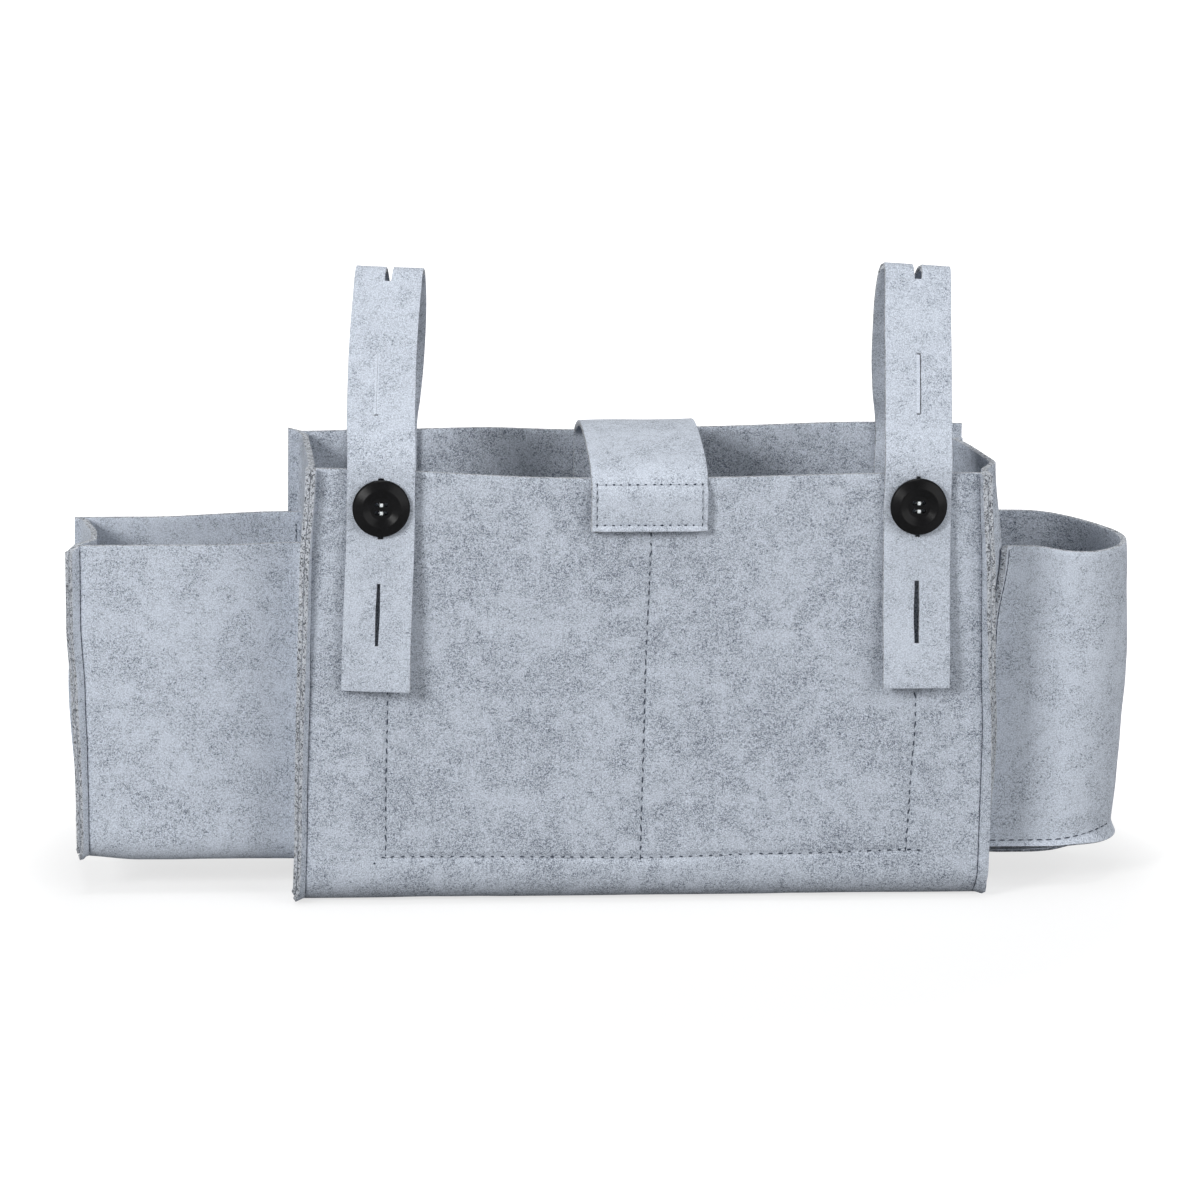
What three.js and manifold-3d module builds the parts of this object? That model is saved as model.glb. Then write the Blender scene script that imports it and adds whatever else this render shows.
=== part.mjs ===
// Bedside caddy sewn from felt: a main compartment with a double inner pocket, a pocket at its left end,
// a bottle pocket at its right end, a closing tab, and two buttoned straps that hang it on a rail.
// Millimetres. X runs along the caddy, its front faces -Y, and Z is up.
// The origin is the middle of the main compartment's underside.

import * as THREE from "three";
import { mergeVertices } from "three/addons/utils/BufferGeometryUtils.js";
import Module from "manifold-3d";

const wasm = await Module();
wasm.setup();

// Felt and sewing
const felt = 3;
const lay = 0.3; // clearance between two layers that are sewn or pressed together
const seam = 7; // seam allowance, which stands outside as a flange of two layers
const turnSteps = 8; // facets of a front flange, which turns as it rises

// Main compartment
const bodyWidth = 330; // over the outer faces of the end walls
const bodyDepth = 100; // over the outer faces of front and back
const bodyHeight = 217;
const bodyFold = 12; // outside radius of the bottom folds
const bodyTurn = 70; // degrees by which the front flanges turn forward, from the fold to the rim

// Double pocket behind the front panel
const innerWidth = 265;
const innerDrop = 28; // mouth below the rim of the front panel
const innerLift = 21; // lower edge above the caddy's underside
const innerHem = 4; // felt outside the line of stitching
const innerEase = 10; // how far each pocket's mouth stands off the front panel

// Pocket at the left end, and what both end pockets share
const pocketReach = 111; // from the end wall to the outer crease
const pocketTop = 176;
const pocketLift = 19; // underside above the caddy's underside
const pocketSetback = 24; // front of the pocket behind the caddy's front
const pocketFold = 10; // outside radius of the bottom folds
const pocketTurn = 45; // degrees by which its front flange turns forward

// Bottle pocket at the right end
const cupReach = 77; // from the end wall to the outside of the curved wall, at its foot
const cupBelly = 8; // how far the curved wall swells beyond its foot
const cupSeam = 5; // width of the flange round its floor

// Hanging straps
const strapWidth = 33;
const strapRise = 93; // top fold above the caddy's rim
const strapTail = 110; // lower end below the caddy's rim
const strapSewn = 39; // length sewn inside the back panel, below the rim
const strapKick = 5; // how far the loose tail stands off the front panel
const foldBack = 50; // top fold behind the front panel
const foldHalf = 6; // half the depth of the top fold
const foldHeight = 7; // height of the rounded part of the top fold
const rimBend = 20; // height over which the strap bends at each rim
const strapLeft = 131; // left button from the middle
const strapRight = 132; // right button from the middle
const leanLeftFold = 6.5; // the strips are sewn a little to the right of their buttons
const leanLeftBack = 6.5;
const leanRightFold = 4;
const leanRightBack = 9;

// Buttonholes: one at the button, one below it and two above it
const slitLength = 31;
const slitWidth = 2;
const slitBelow = 53;
const slitAbove = 62;
const slitTop = 127;

// Buttons and their thread
const buttonDiameter = 28;
const buttonThickness = 4.2;
const buttonRim = 3; // width of the rounded rim
const dishDiameter = 19;
const dishDepth = 1.5;
const buttonDrop = 17; // button's middle below the rim
const buttonStand = 1.6; // thread shank between strap and button
const holeDiameter = 2.2;
const holePitchX = 4.4;
const holePitchZ = 4;
const threadDiameter = 1.4;
const shankHeight = 6;

// Closing tab
const tabWidth = 57;
const tabSewn = 35; // length sewn inside the back panel, below the rim
const tabRoot = 5; // height of its bend above the rim
const tabRise = 12; // crest above the rim
const tabDrop = 29; // free end below the front rim
const patchWidth = 53;
const patchHeight = 22;
const patchThickness = 1.5;
const patchMargin = 1.5; // patch above the tab's free end

// Facets
const arcSteps = 6;
const stripStep = 4; // step along the bent strips
const roundSides = 40;
const threadSides = 10;

// Places that follow from the sizes
const front = -bodyDepth / 2;
const back = bodyDepth / 2;
const rim = bodyHeight;
const endWall = bodyWidth / 2;
const layer = felt + lay; // one sewn layer with its clearance
const strapFront = front - lay - felt / 2; // middle of the strap on the front panel
const strapBack = back - layer - felt / 2; // middle of straps and tab inside the back panel
const pocketBack = back - 2 * layer; // outer face of the end pockets, in front of the caddy's rear seam
const pocketFront = front + pocketSetback;

const feltLook = new THREE.MeshStandardMaterial({ color: 0xb9c2cd, roughness: 0.95 });
const plasticLook = new THREE.MeshStandardMaterial({ color: 0x101113, roughness: 0.35 });
const threadLook = new THREE.MeshStandardMaterial({ color: 0xb4b8bd, roughness: 0.8 });
const patchLook = new THREE.MeshStandardMaterial({ color: 0xa9b1bb, roughness: 0.9 });

// Solids

function solid(geometry) {
  const bare = geometry.clone();
  bare.deleteAttribute("normal");
  bare.deleteAttribute("uv");
  const merged = mergeVertices(bare, 1e-4);
  const mesh = new wasm.Mesh({
    numProp: 3,
    vertProperties: new Float32Array(merged.attributes.position.array),
    triVerts: new Uint32Array(merged.index.array),
  });
  return new wasm.Manifold(mesh);
}

function geometryOf(body) {
  const mesh = body.getMesh();
  const geometry = new THREE.BufferGeometry();
  geometry.setAttribute("position", new THREE.BufferAttribute(mesh.vertProperties, 3));
  geometry.setIndex(new THREE.BufferAttribute(mesh.triVerts, 1));
  geometry.computeVertexNormals();
  return geometry;
}

function joined(geometries) {
  return geometryOf(geometries.map(solid).reduce((whole, next) => whole.add(next)));
}

function cut(geometry, tools) {
  return geometryOf(tools.map(solid).reduce((rest, tool) => rest.subtract(tool), solid(geometry)));
}

// Moves every point of a geometry by a rule
function reshaped(geometry, rule) {
  const places = geometry.attributes.position;
  const point = new THREE.Vector3();
  for (let i = 0; i < places.count; i += 1) {
    point.fromBufferAttribute(places, i);
    rule(point);
    places.setXYZ(i, point.x, point.y, point.z);
  }
  geometry.computeVertexNormals();
  return geometry;
}

// Bent strips of felt

function withoutRepeats(points) {
  return points.filter((point, i) => i === 0 || point.distanceTo(points[i - 1]) > 1e-6);
}

// The corners of a folded sheet: straight runs stay single, round stretches get steps
function foldPoints(path) {
  const runs = path.curves.map((curve) => curve.getSpacedPoints(curve.type === "LineCurve" ? 1 : arcSteps));
  return withoutRepeats(runs.flat());
}

// A strip bent along the middle line of a path, between two distances from the path's start
function bentStrip(path, from, to, thickness) {
  const count = Math.ceil((to - from) / stripStep);
  const left = [];
  const right = [];
  for (let i = 0; i <= count; i += 1) {
    const share = (from + ((to - from) * i) / count) / path.getLength();
    const point = path.getPoint(share);
    const along = path.getTangent(share);
    const aside = new THREE.Vector2(-along.y, along.x).multiplyScalar(thickness / 2);
    left.push(point.clone().add(aside));
    right.push(point.clone().sub(aside));
  }
  return new THREE.Shape([...right, ...left.reverse()]);
}

// The points moved to the left of their direction, with mitred corners
function offset(points, distance) {
  return points.map((point, i) => {
    const arrive = point.clone().sub(points[Math.max(i - 1, 0)]).normalize();
    const leave = points[Math.min(i + 1, points.length - 1)].clone().sub(point).normalize();
    const along = arrive.clone().add(leave).normalize();
    const mitre = arrive.length() * leave.length() === 0 ? 1 : along.dot(leave);
    return new THREE.Vector2(-along.y, along.x).multiplyScalar(distance / mitre).add(point);
  });
}

function strip(points, toLeft, toRight) {
  return new THREE.Shape([...offset(points, -toRight), ...offset(points, toLeft).reverse()]);
}

// An outline in Y and Z, extruded along X
function acrossX(shape, low, high) {
  const geometry = new THREE.ExtrudeGeometry(shape, { depth: high - low, bevelEnabled: false });
  const turn = new THREE.Matrix4().makeBasis(
    new THREE.Vector3(0, 1, 0),
    new THREE.Vector3(0, 0, 1),
    new THREE.Vector3(1, 0, 0),
  );
  return geometry.applyMatrix4(turn.setPosition(low, 0, 0));
}

// An outline in X and Y, extruded along Z
function upZ(shape, low, high, steps = 1) {
  const geometry = new THREE.ExtrudeGeometry(shape, { depth: high - low, bevelEnabled: false, steps });
  return geometry.translate(0, 0, low);
}

function block(low, high) {
  const size = high.map((value, i) => value - low[i]);
  const middle = high.map((value, i) => (value + low[i]) / 2);
  return new THREE.BoxGeometry(...size).translate(...middle);
}

// Down the front, along the bottom and up the back of a folded sheet, on its outer face
function foldedU({ nearY, farY, bottom, top, radius }) {
  return new THREE.Path()
    .moveTo(nearY, top)
    .lineTo(nearY, bottom + radius)
    .absarc(nearY + radius, bottom + radius, radius, Math.PI, 1.5 * Math.PI)
    .lineTo(farY - radius, bottom)
    .absarc(farY - radius, bottom + radius, radius, 1.5 * Math.PI, 2 * Math.PI)
    .lineTo(farY, top);
}

const bodyU = { nearY: front, farY: back, bottom: 0, top: rim, radius: bodyFold, turn: bodyTurn };
const pocketU = {
  nearY: pocketFront,
  farY: pocketBack,
  bottom: pocketLift,
  top: pocketTop,
  radius: pocketFold,
  turn: pocketTurn,
};

// A closed body through level outlines of equally many points, listed from the lowest up. An outline runs out
// along one face of a layer and back along the other, and both are split alike, so that layers stay parallel.
function loft(levels) {
  const count = levels[0].length;
  const places = levels.flat().flatMap((point) => [point.x, point.y, point.z]);
  const faces = [];
  for (let level = 0; level + 1 < levels.length; level += 1) {
    for (let i = 0; i < count; i += 1) {
      const low = level * count + i;
      const lowNext = level * count + ((i + 1) % count);
      const wayOut = i < count / 2;
      if (wayOut) faces.push(low, lowNext, lowNext + count, low, lowNext + count, low + count);
      else faces.push(low, lowNext, low + count, lowNext, lowNext + count, low + count);
    }
  }
  const top = (levels.length - 1) * count;
  const flat = (level) => level.map((point) => new THREE.Vector2(point.x, point.y));
  for (const [a, b, c] of THREE.ShapeUtils.triangulateShape(flat(levels[0]), [])) faces.push(a, c, b);
  for (const [a, b, c] of THREE.ShapeUtils.triangulateShape(flat(levels.at(-1)), [])) {
    faces.push(top + a, top + b, top + c);
  }
  const geometry = new THREE.BufferGeometry();
  geometry.setAttribute("position", new THREE.Float32BufferAttribute(places, 3));
  geometry.setIndex(faces);
  return geometry;
}

// One layer of a front flange. It leaves the fold sideways, and turns forward about the crease as it
// rises. depth is how far the layer lies behind the crease, outside is -1 or 1, the way it points along X.
function frontFlange(u, creaseX, outside, depth) {
  const foot = u.bottom + u.radius;
  const levels = [];
  for (let step = 0; step <= turnSteps; step += 1) {
    const share = step / turnSteps;
    const turn = THREE.MathUtils.degToRad(u.turn) * Math.sin((share * Math.PI) / 2);
    const at = (along, behind, angle) =>
      new THREE.Vector3(
        creaseX + outside * (along * Math.cos(angle) + behind * Math.sin(angle)),
        u.nearY - along * Math.sin(angle) + behind * Math.cos(angle),
        foot + (u.top - foot) * share,
      );
    const outline = [
      at(-felt / 2, depth, 0),
      at(0, depth, 0),
      at(0, depth, turn / 2),
      at(0, depth, turn),
      at(seam, depth, turn),
      at(seam, depth + felt, turn),
      at(0, depth + felt, turn),
      at(0, depth + felt, turn / 2),
      at(0, depth + felt, 0),
      at(-felt / 2, depth + felt, 0),
    ];
    levels.push(outside > 0 ? outline : outline.reverse());
  }
  return loft(levels);
}

// A folded U without its front run
function behindFront(points) {
  return points.slice(1);
}

function between(shape, a, b) {
  return acrossX(shape, Math.min(a, b), Math.max(a, b));
}

// Felt panels

// The sheet between its creases, with the flanges at the ends that outside names
function foldedSheet(u, lowX, highX, outsides) {
  const points = foldPoints(foldedU(u));
  const sheet = acrossX(strip(points, felt, 0), lowX, highX);
  const flanges = outsides.flatMap((outside) => {
    const crease = outside < 0 ? lowX : highX;
    const overlap = crease - (outside * felt) / 2;
    const level = between(strip(behindFront(points), felt, 0), overlap, crease + outside * seam);
    return [level, frontFlange(u, crease, outside, 0)];
  });
  return joined([sheet, ...flanges]);
}

function bodyWrap() {
  return foldedSheet(bodyU, -endWall, endWall, [-1, 1]);
}

// An end wall inside a folded sheet, with its three edges turned out along the sheet as a flange.
// outside is -1 for a wall whose outer face looks along -X and 1 for +X.
function gusset(u, wallFace, outside) {
  const inner = {
    nearY: u.nearY + layer,
    farY: u.farY - layer,
    bottom: u.bottom + layer,
    top: u.top,
    radius: u.radius - layer,
  };
  const points = foldPoints(foldedU(inner));
  const inFace = wallFace - outside * felt;
  const wall = between(new THREE.Shape(points), inFace, wallFace);
  const flange = between(strip(behindFront(points), felt, 0), inFace, wallFace + outside * seam);
  return joined([wall, flange, frontFlange(u, wallFace, outside, layer)]);
}

// Two pockets side by side, each mouth eased off the front panel, flat along the stitching
function innerPocket() {
  const bottom = innerLift;
  const top = rim - innerDrop;
  const half = innerWidth / 2 - innerHem;
  const stitched = bottom + innerHem;
  const panel = new THREE.BoxGeometry(innerWidth, felt, top - bottom, 32, 1, 8);
  panel.translate(0, front + layer + felt / 2, (top + bottom) / 2);
  return reshaped(panel, (point) => {
    const across = Math.min(Math.abs(point.x) / half, 1);
    const up = Math.max((point.z - stitched) / (top - stitched), 0);
    point.y += innerEase * Math.sin(Math.PI * across) ** 2 * Math.sin((Math.PI / 2) * up);
  });
}

// The sheet runs past the outer end wall as a flange. At the caddy its front and bottom edges turn out
// and are sewn flat on the caddy's end wall, and its back edge lies on the caddy's rear seam.
function leftPocketWrap() {
  const points = foldPoints(foldedU(pocketU));
  const sewnEdge = points.slice(0, -arcSteps - 1); // front and bottom, without the rear fold and the back
  const sewnFace = -endWall - lay;
  const sheet = foldedSheet(pocketU, -endWall - pocketReach, sewnFace, [-1]);
  const flange = acrossX(strip(sewnEdge, felt, seam), sewnFace - felt, sewnFace);
  return joined([sheet, flange]);
}

// Plan of the curved wall on its middle line, from its front crease to its rear end
function cupPlan(startX, endX) {
  const near = pocketFront + felt / 2;
  const far = pocketBack - felt / 2;
  const radius = (far - near) / 2;
  const turnX = endWall + cupReach - felt / 2 - radius;
  const points = [new THREE.Vector2(startX, near)];
  for (let i = 0; i <= 3 * arcSteps; i += 1) {
    const angle = -Math.PI / 2 + (Math.PI * i) / (3 * arcSteps);
    const round = new THREE.Vector2(Math.cos(angle), Math.sin(angle)).multiplyScalar(radius);
    points.push(round.add(new THREE.Vector2(turnX, near + radius)));
  }
  points.push(new THREE.Vector2(endX, far));
  return points;
}

function cupWall() {
  const foot = pocketLift + layer;
  const sewnMiddle = endWall + lay + felt / 2;
  const seamTip = new THREE.Vector2(sewnMiddle, pocketFront - seam);
  const wallPoints = [seamTip, ...cupPlan(sewnMiddle, endWall + lay)];
  const wall = reshaped(upZ(strip(wallPoints, felt / 2, felt / 2), foot, pocketTop, 8), (point) => {
    const out = THREE.MathUtils.clamp((point.x - endWall - layer) / cupReach, 0, 1);
    const up = (point.z - foot) / (pocketTop - foot);
    point.x += cupBelly * out * Math.sin(0.8 * Math.PI * up);
  });
  const rearStart = endWall + seam + lay; // clear of the caddy's rear seam
  const ring = upZ(strip(cupPlan(sewnMiddle, rearStart), felt / 2, felt / 2 + cupSeam), foot, foot + felt);
  return joined([wall, ring]);
}

// D-shaped floor under the wall's flange, notched round the caddy's rear seam
function cupBase() {
  const rearStart = endWall + seam + lay;
  const rimPoints = offset(cupPlan(endWall + lay, rearStart), -felt / 2 - cupSeam);
  const notch = [
    new THREE.Vector2(rearStart, pocketBack),
    new THREE.Vector2(endWall + lay, pocketBack),
  ];
  return upZ(new THREE.Shape([...rimPoints, ...notch]), pocketLift, pocketLift + felt);
}

// Straps

const foldY = front + foldBack;
const foldZ = rim + strapRise - felt / 2;

// Middle line of the front leg, from its lower end to the top fold
function strapFrontPath() {
  const bend = rim - lay;
  const tailHang = strapTail - buttonDrop;
  return new THREE.Path()
    .moveTo(strapFront - strapKick, rim - strapTail)
    .quadraticCurveTo(strapFront, rim - buttonDrop - tailHang / 2, strapFront, rim - buttonDrop)
    .lineTo(strapFront, bend)
    .quadraticCurveTo(strapFront, bend + rimBend / 2, ...legPoint(strapFront, bend + rimBend))
    .lineTo(foldY - foldHalf, foldZ - foldHeight)
    .quadraticCurveTo(foldY - foldHalf / 2, foldZ, foldY, foldZ);
}

// Middle line of the rear leg, from the top fold to its sewn end
function strapBackPath() {
  return new THREE.Path()
    .moveTo(foldY, foldZ)
    .quadraticCurveTo(foldY + foldHalf / 2, foldZ, foldY + foldHalf, foldZ - foldHeight)
    .lineTo(...legPoint(strapBack, rim + rimBend))
    .quadraticCurveTo(strapBack, rim + rimBend / 2, strapBack, rim)
    .lineTo(strapBack, rim - strapSewn);
}

// The point at a height on the straight line from a rim to the top fold
function legPoint(rimY, z) {
  const edge = foldY + Math.sign(rimY) * foldHalf;
  const share = (z - rim) / (foldZ - foldHeight - rim);
  return [rimY + (edge - rimY) * share, z];
}

// The strip leans to one side on its way from the button over the fold to the back
function leaned(geometry, place) {
  return reshaped(geometry, (point) => {
    const toFold = THREE.MathUtils.clamp((point.y - strapFront) / (foldY - strapFront), 0, 1);
    const toBack = THREE.MathUtils.clamp((point.y - foldY) / (strapBack - foldY), 0, 1);
    point.x += place.x + place.foldLean * toFold + (place.backLean - place.foldLean) * toBack;
  });
}

function strapStrip(path, from, to, width, thickness) {
  return acrossX(bentStrip(path, from, to, thickness), -width / 2, width / 2);
}

// Cutters for the buttonholes on one leg, which starts at a distance from the strap's lower end.
// The top one crosses the fold, so each leg gets its share of it.
function slits(path, start) {
  const toButton = strapFrontPath().curves[0].getLength();
  const middles = [-slitBelow, 0, slitAbove, slitTop].map((place) => toButton + place - start);
  const spans = middles.map((middle) => [
    Math.max(middle - slitLength / 2, 0),
    Math.min(middle + slitLength / 2, path.getLength()),
  ]);
  const onLeg = spans.filter(([from, to]) => to - from > slitWidth);
  return onLeg.map(([from, to]) => strapStrip(path, from, to, slitWidth, 2 * felt));
}

function strapFrontLeg(place) {
  const path = strapFrontPath();
  const leg = strapStrip(path, 0, path.getLength() - lay / 2, strapWidth, felt);
  return leaned(cut(leg, slits(path, 0)), place);
}

function strapBackLeg(place) {
  const path = strapBackPath();
  const leg = strapStrip(path, lay / 2, path.getLength(), strapWidth, felt);
  return leaned(cut(leg, slits(path, strapFrontPath().getLength())), place);
}

// Buttons

const buttonZ = rim - buttonDrop;
const buttonBack = strapFront - felt / 2 - buttonStand;
const dishFloor = buttonBack - buttonThickness + dishDepth;

function buttonHoles(x, diameter, nearY, farY) {
  const rows = [-holePitchZ / 2, holePitchZ / 2];
  const columns = [-holePitchX / 2, holePitchX / 2];
  return rows.flatMap((row) =>
    columns.map((column) =>
      new THREE.CylinderGeometry(diameter / 2, diameter / 2, farY - nearY, threadSides)
        .translate(x + column, (nearY + farY) / 2, buttonZ + row),
    ),
  );
}

// Turned disc with a rounded rim and a sunk dish, its face towards -Y
function button(x) {
  const radius = buttonDiameter / 2;
  const dish = dishDiameter / 2;
  const face = buttonBack - buttonThickness;
  const crown = (radius + dish) / 2;
  const profile = new THREE.Path()
    .moveTo(0, dishFloor)
    .lineTo(dish - dishDepth, dishFloor)
    .lineTo(dish, face + dishDepth / 3)
    .quadraticCurveTo(dish + dishDepth / 3, face, crown, face)
    .lineTo(radius - buttonRim / 2, face)
    .quadraticCurveTo(radius, face, radius, face + buttonRim / 2)
    .lineTo(radius, buttonBack - buttonRim / 3)
    .lineTo(radius - buttonRim / 2, buttonBack)
    .lineTo(0, buttonBack);
  const disc = new THREE.LatheGeometry(foldPoints(profile), roundSides).translate(x, 0, buttonZ);
  return cut(disc, buttonHoles(x, holeDiameter, face, buttonBack + felt));
}

// Two bars over the dish, four legs through the holes, a knot behind and a shank through the slit
function buttonThread(x) {
  const bar = dishFloor - lay - threadDiameter / 2;
  const knotNear = buttonBack + lay;
  const knotFar = buttonBack + buttonStand - lay;
  const legs = buttonHoles(x, threadDiameter, bar, (knotNear + knotFar) / 2);
  const bars = [-holePitchZ / 2, holePitchZ / 2].map((row) =>
    new THREE.CapsuleGeometry(threadDiameter / 2, holePitchX, 3, threadSides)
      .rotateZ(Math.PI / 2)
      .translate(x, bar, buttonZ + row),
  );
  const reachX = (holePitchX + threadDiameter) / 2;
  const reachZ = (holePitchZ + threadDiameter) / 2;
  const knot = block([x - reachX, knotNear, buttonZ - reachZ], [x + reachX, knotFar, buttonZ + reachZ]);
  const thin = slitWidth / 2 - lay;
  const shank = block(
    [x - thin, (knotNear + knotFar) / 2, buttonZ - shankHeight / 2],
    [x + thin, front - lay, buttonZ + shankHeight / 2],
  );
  return joined([knot, shank, ...legs, ...bars]);
}

// Closing tab

const tabTurn = rim + tabRoot; // height where the tab bends when it is lifted
const loopFace = front - lay - patchThickness;
const hookFace = loopFace - lay - patchThickness;
const tabFront = hookFace - lay - felt / 2; // middle of the tab in front of the patches
const patchLow = rim - tabDrop + patchMargin;

function tabRootStrip() {
  const shape = strip(
    [new THREE.Vector2(strapBack, rim - tabSewn), new THREE.Vector2(strapBack, tabTurn - lay / 2)],
    felt / 2,
    felt / 2,
  );
  return acrossX(shape, -tabWidth / 2, tabWidth / 2);
}

// Up from the bend, over the mouth in a low arch and down the front
function tabFlap() {
  const crest = rim + tabRise;
  const span = strapBack - tabFront;
  const overRim = rim + layer + felt / 2;
  const path = new THREE.Path()
    .moveTo(strapBack, tabTurn + lay / 2)
    .quadraticCurveTo(strapBack, crest - felt / 2, strapBack - 0.3 * span, crest - felt / 2)
    .quadraticCurveTo(strapBack - 0.6 * span, crest - felt / 2, front + 2 * felt, overRim + felt)
    .quadraticCurveTo(tabFront, overRim, tabFront, patchLow + patchHeight)
    .lineTo(tabFront, rim - tabDrop);
  return acrossX(bentStrip(path, 0, path.getLength(), felt), -tabWidth / 2, tabWidth / 2);
}

function patch(nearY) {
  return block(
    [-patchWidth / 2, nearY, patchLow],
    [patchWidth / 2, nearY + patchThickness, patchLow + patchHeight],
  );
}

// The caddy

const straps = [
  { side: "left", x: -strapLeft, foldLean: leanLeftFold, backLean: leanLeftBack },
  { side: "right", x: strapRight, foldLean: leanRightFold, backLean: leanRightBack },
];
const caddy = new THREE.Group();

function add(name, geometry, look) {
  const mesh = new THREE.Mesh(geometry, look);
  mesh.name = name;
  caddy.add(mesh);
}

add("body_wrap", bodyWrap(), feltLook);
add("body_gusset_left", gusset(bodyU, -endWall, -1), feltLook);
add("body_gusset_right", gusset(bodyU, endWall, 1), feltLook);
add("inner_pocket", innerPocket(), feltLook);
add("left_pocket_wrap", leftPocketWrap(), feltLook);
add("left_pocket_gusset", gusset(pocketU, -endWall - pocketReach, -1), feltLook);
add("cup_pocket_wall", cupWall(), feltLook);
add("cup_pocket_base", cupBase(), feltLook);
for (const place of straps) {
  add(`strap_${place.side}_rear`, strapBackLeg(place), feltLook);
  add(`strap_${place.side}_front`, strapFrontLeg(place), feltLook);
  add(`button_${place.side}`, button(place.x), plasticLook);
  add(`button_${place.side}_thread`, buttonThread(place.x), threadLook);
}
add("tab_root", tabRootStrip(), feltLook);
add("tab_flap", tabFlap(), feltLook);
add("tab_hook_patch", patch(hookFace), patchLook);
add("front_loop_patch", patch(loopFace), patchLook);

export default caddy;
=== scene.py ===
"""Felt bedside caddy. Lengths are in millimetres until a piece is laid into its mesh, which is in metres."""

import bisect
import math

import bpy
from mathutils import Matrix, Vector, noise

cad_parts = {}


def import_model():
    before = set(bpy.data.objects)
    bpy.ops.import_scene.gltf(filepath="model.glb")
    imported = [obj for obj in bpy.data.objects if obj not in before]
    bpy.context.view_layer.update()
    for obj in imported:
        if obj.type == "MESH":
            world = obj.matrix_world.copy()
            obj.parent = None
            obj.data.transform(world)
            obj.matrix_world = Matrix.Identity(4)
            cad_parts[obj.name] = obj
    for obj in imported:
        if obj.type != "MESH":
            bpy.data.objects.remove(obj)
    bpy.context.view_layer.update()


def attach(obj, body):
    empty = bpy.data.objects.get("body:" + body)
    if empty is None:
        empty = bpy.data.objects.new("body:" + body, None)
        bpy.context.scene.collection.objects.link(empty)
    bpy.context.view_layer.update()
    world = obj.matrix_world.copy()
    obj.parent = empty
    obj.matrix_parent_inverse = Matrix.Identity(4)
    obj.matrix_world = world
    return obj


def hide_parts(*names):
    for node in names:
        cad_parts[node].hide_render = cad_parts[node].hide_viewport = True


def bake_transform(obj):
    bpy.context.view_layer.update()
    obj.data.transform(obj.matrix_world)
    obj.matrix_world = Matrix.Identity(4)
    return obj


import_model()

MM = 0.001
FELT = 3.0
LAYER = 3.3  # one sewn layer with its clearance
SEAM = 7.0  # seam allowance that stands outside
FRONT_SEAM = 5.4  # what shows of it along the front creases
PRESS = 0.76  # share of the felt's thickness that is left in a seam
SEAM_LAYER = 2.5  # a pressed layer with its clearance
CREASE_BEND = 0.8  # half the length over which a flange turns at its crease
GUSSET_LEAD = 0.5  # how far beyond the crease an end wall leaves its allowance

# Main compartment
FRONT = -50.0
BACK = 50.0
END = 165.0  # outer face of an end wall
RIM = 217.0
BODY_FOLD = 16.0
# Height of a rim by place, from -1 at the left end to 1 at the right
FRONT_RIM = ((-1.0, 218.9), (-0.18, 213.7), (0.1, 213.6), (0.7, 215.6), (1.0, 215.7))
BACK_RIM = (
    (-1.0, 219.3), (-0.8, 219.9), (-0.45, 221.0), (-0.18, 219.8), (0.2, 221.1), (0.7, 223.4), (1.0, 222.6),
)
BODY_WAVES = ((0.9, 75.0, 3.1), (0.35, 22.0, 5.7))  # height, length and seed of each kind of wave
FOOT_WAVE = 1.6
END_DROP = {-1: 0.0, 1: 7.0}  # how far an end wall ends below the back panel
END_BULGES = {-1: ((25, 0), (180, 3.2)), 1: ((25, 0), (90, 4.5), (130, 9.0), (174, 14.8), (220, 12.4))}
# Front creases by height: half the width between them, and degrees that the flange has turned forward
CREASES = {
    -1: ((0, 166.5), (40, 165.8), (125, 164.4), (170, 163.9), (217, 161.8)),
    1: ((0, 166.6), (15, 167.6), (84, 167.7), (122, 166.0), (160, 165.0), (217, 162.5)),
}
TURNS = {
    -1: ((0, 42), (40, 44), (90, 52), (150, 68), (210, 80)),
    1: ((20, 0), (40, 10), (85, 44), (150, 68), (210, 80)),
}

# Inner pocket, sewn behind the front panel
INNER_HALF = 132.5
INNER_LOW = 21.0
INNER_TOP = 189.0
INNER_HEM = 4.0
INNER_EASE = 10.0

# Box pocket at the left end
POCKET_FRONT = -26.0
POCKET_BACK = 43.4
POCKET_LOW = 19.0
POCKET_TOP = 176.0
POCKET_FOLD = 12.0
POCKET_REACH = 111.0
POCKET_TURN = 44.0  # degrees that its flange has turned forward
POCKET_SEWN = 3.9  # where its edge turns to lie on the end wall
POCKET_BOW = 5.4
POCKET_SAG = (4.1, 1.7)  # of its foot, in the middle and at the outer end
POCKET_WAVES = ((0.7, 60.0, 6.3), (0.3, 20.0, 9.1))
POCKET_CREASE = ((20, 272.2), (40, 272.4), (70, 272.9), (100, 273.9), (140, 276.0), (176, 276.2))

# Bottle pocket at the right end
CUP_TURN_X = 207.3
CUP_RADIUS = 34.7
CUP_MIDDLE = 8.7
CUP_FOOT = 25.3
CUP_FLANGE = 2.6
CUP_REACH = 77.0
CUP_SPREAD = 2.2  # the wall stands a little wider than its floor
CUP_BELLY = 5.2
CUP_DROP = 2.6  # of the foot, near the end wall
CUP_TILT = 4.0  # of the foot, up towards the outer side
CUP_WAVES = ((0.8, 48.0, 4.4), (0.3, 17.0, 2.9))
CUP_FLOOR_REACH = 40.0

# Straps, drawn along their middle line
STRAP_WIDTH = 33.0
STRAP_FRONT = -51.8
STRAP_BACK = 45.2
STRAP_LOW = 109.6
STRAP_SEWN = 178.0
STRAP_KICK = 5.5
FOLD_Z = 308.5
FOLD_HALF = 6.0
FOLD_HEIGHT = 7.0
RIM_BEND = 20.0
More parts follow.
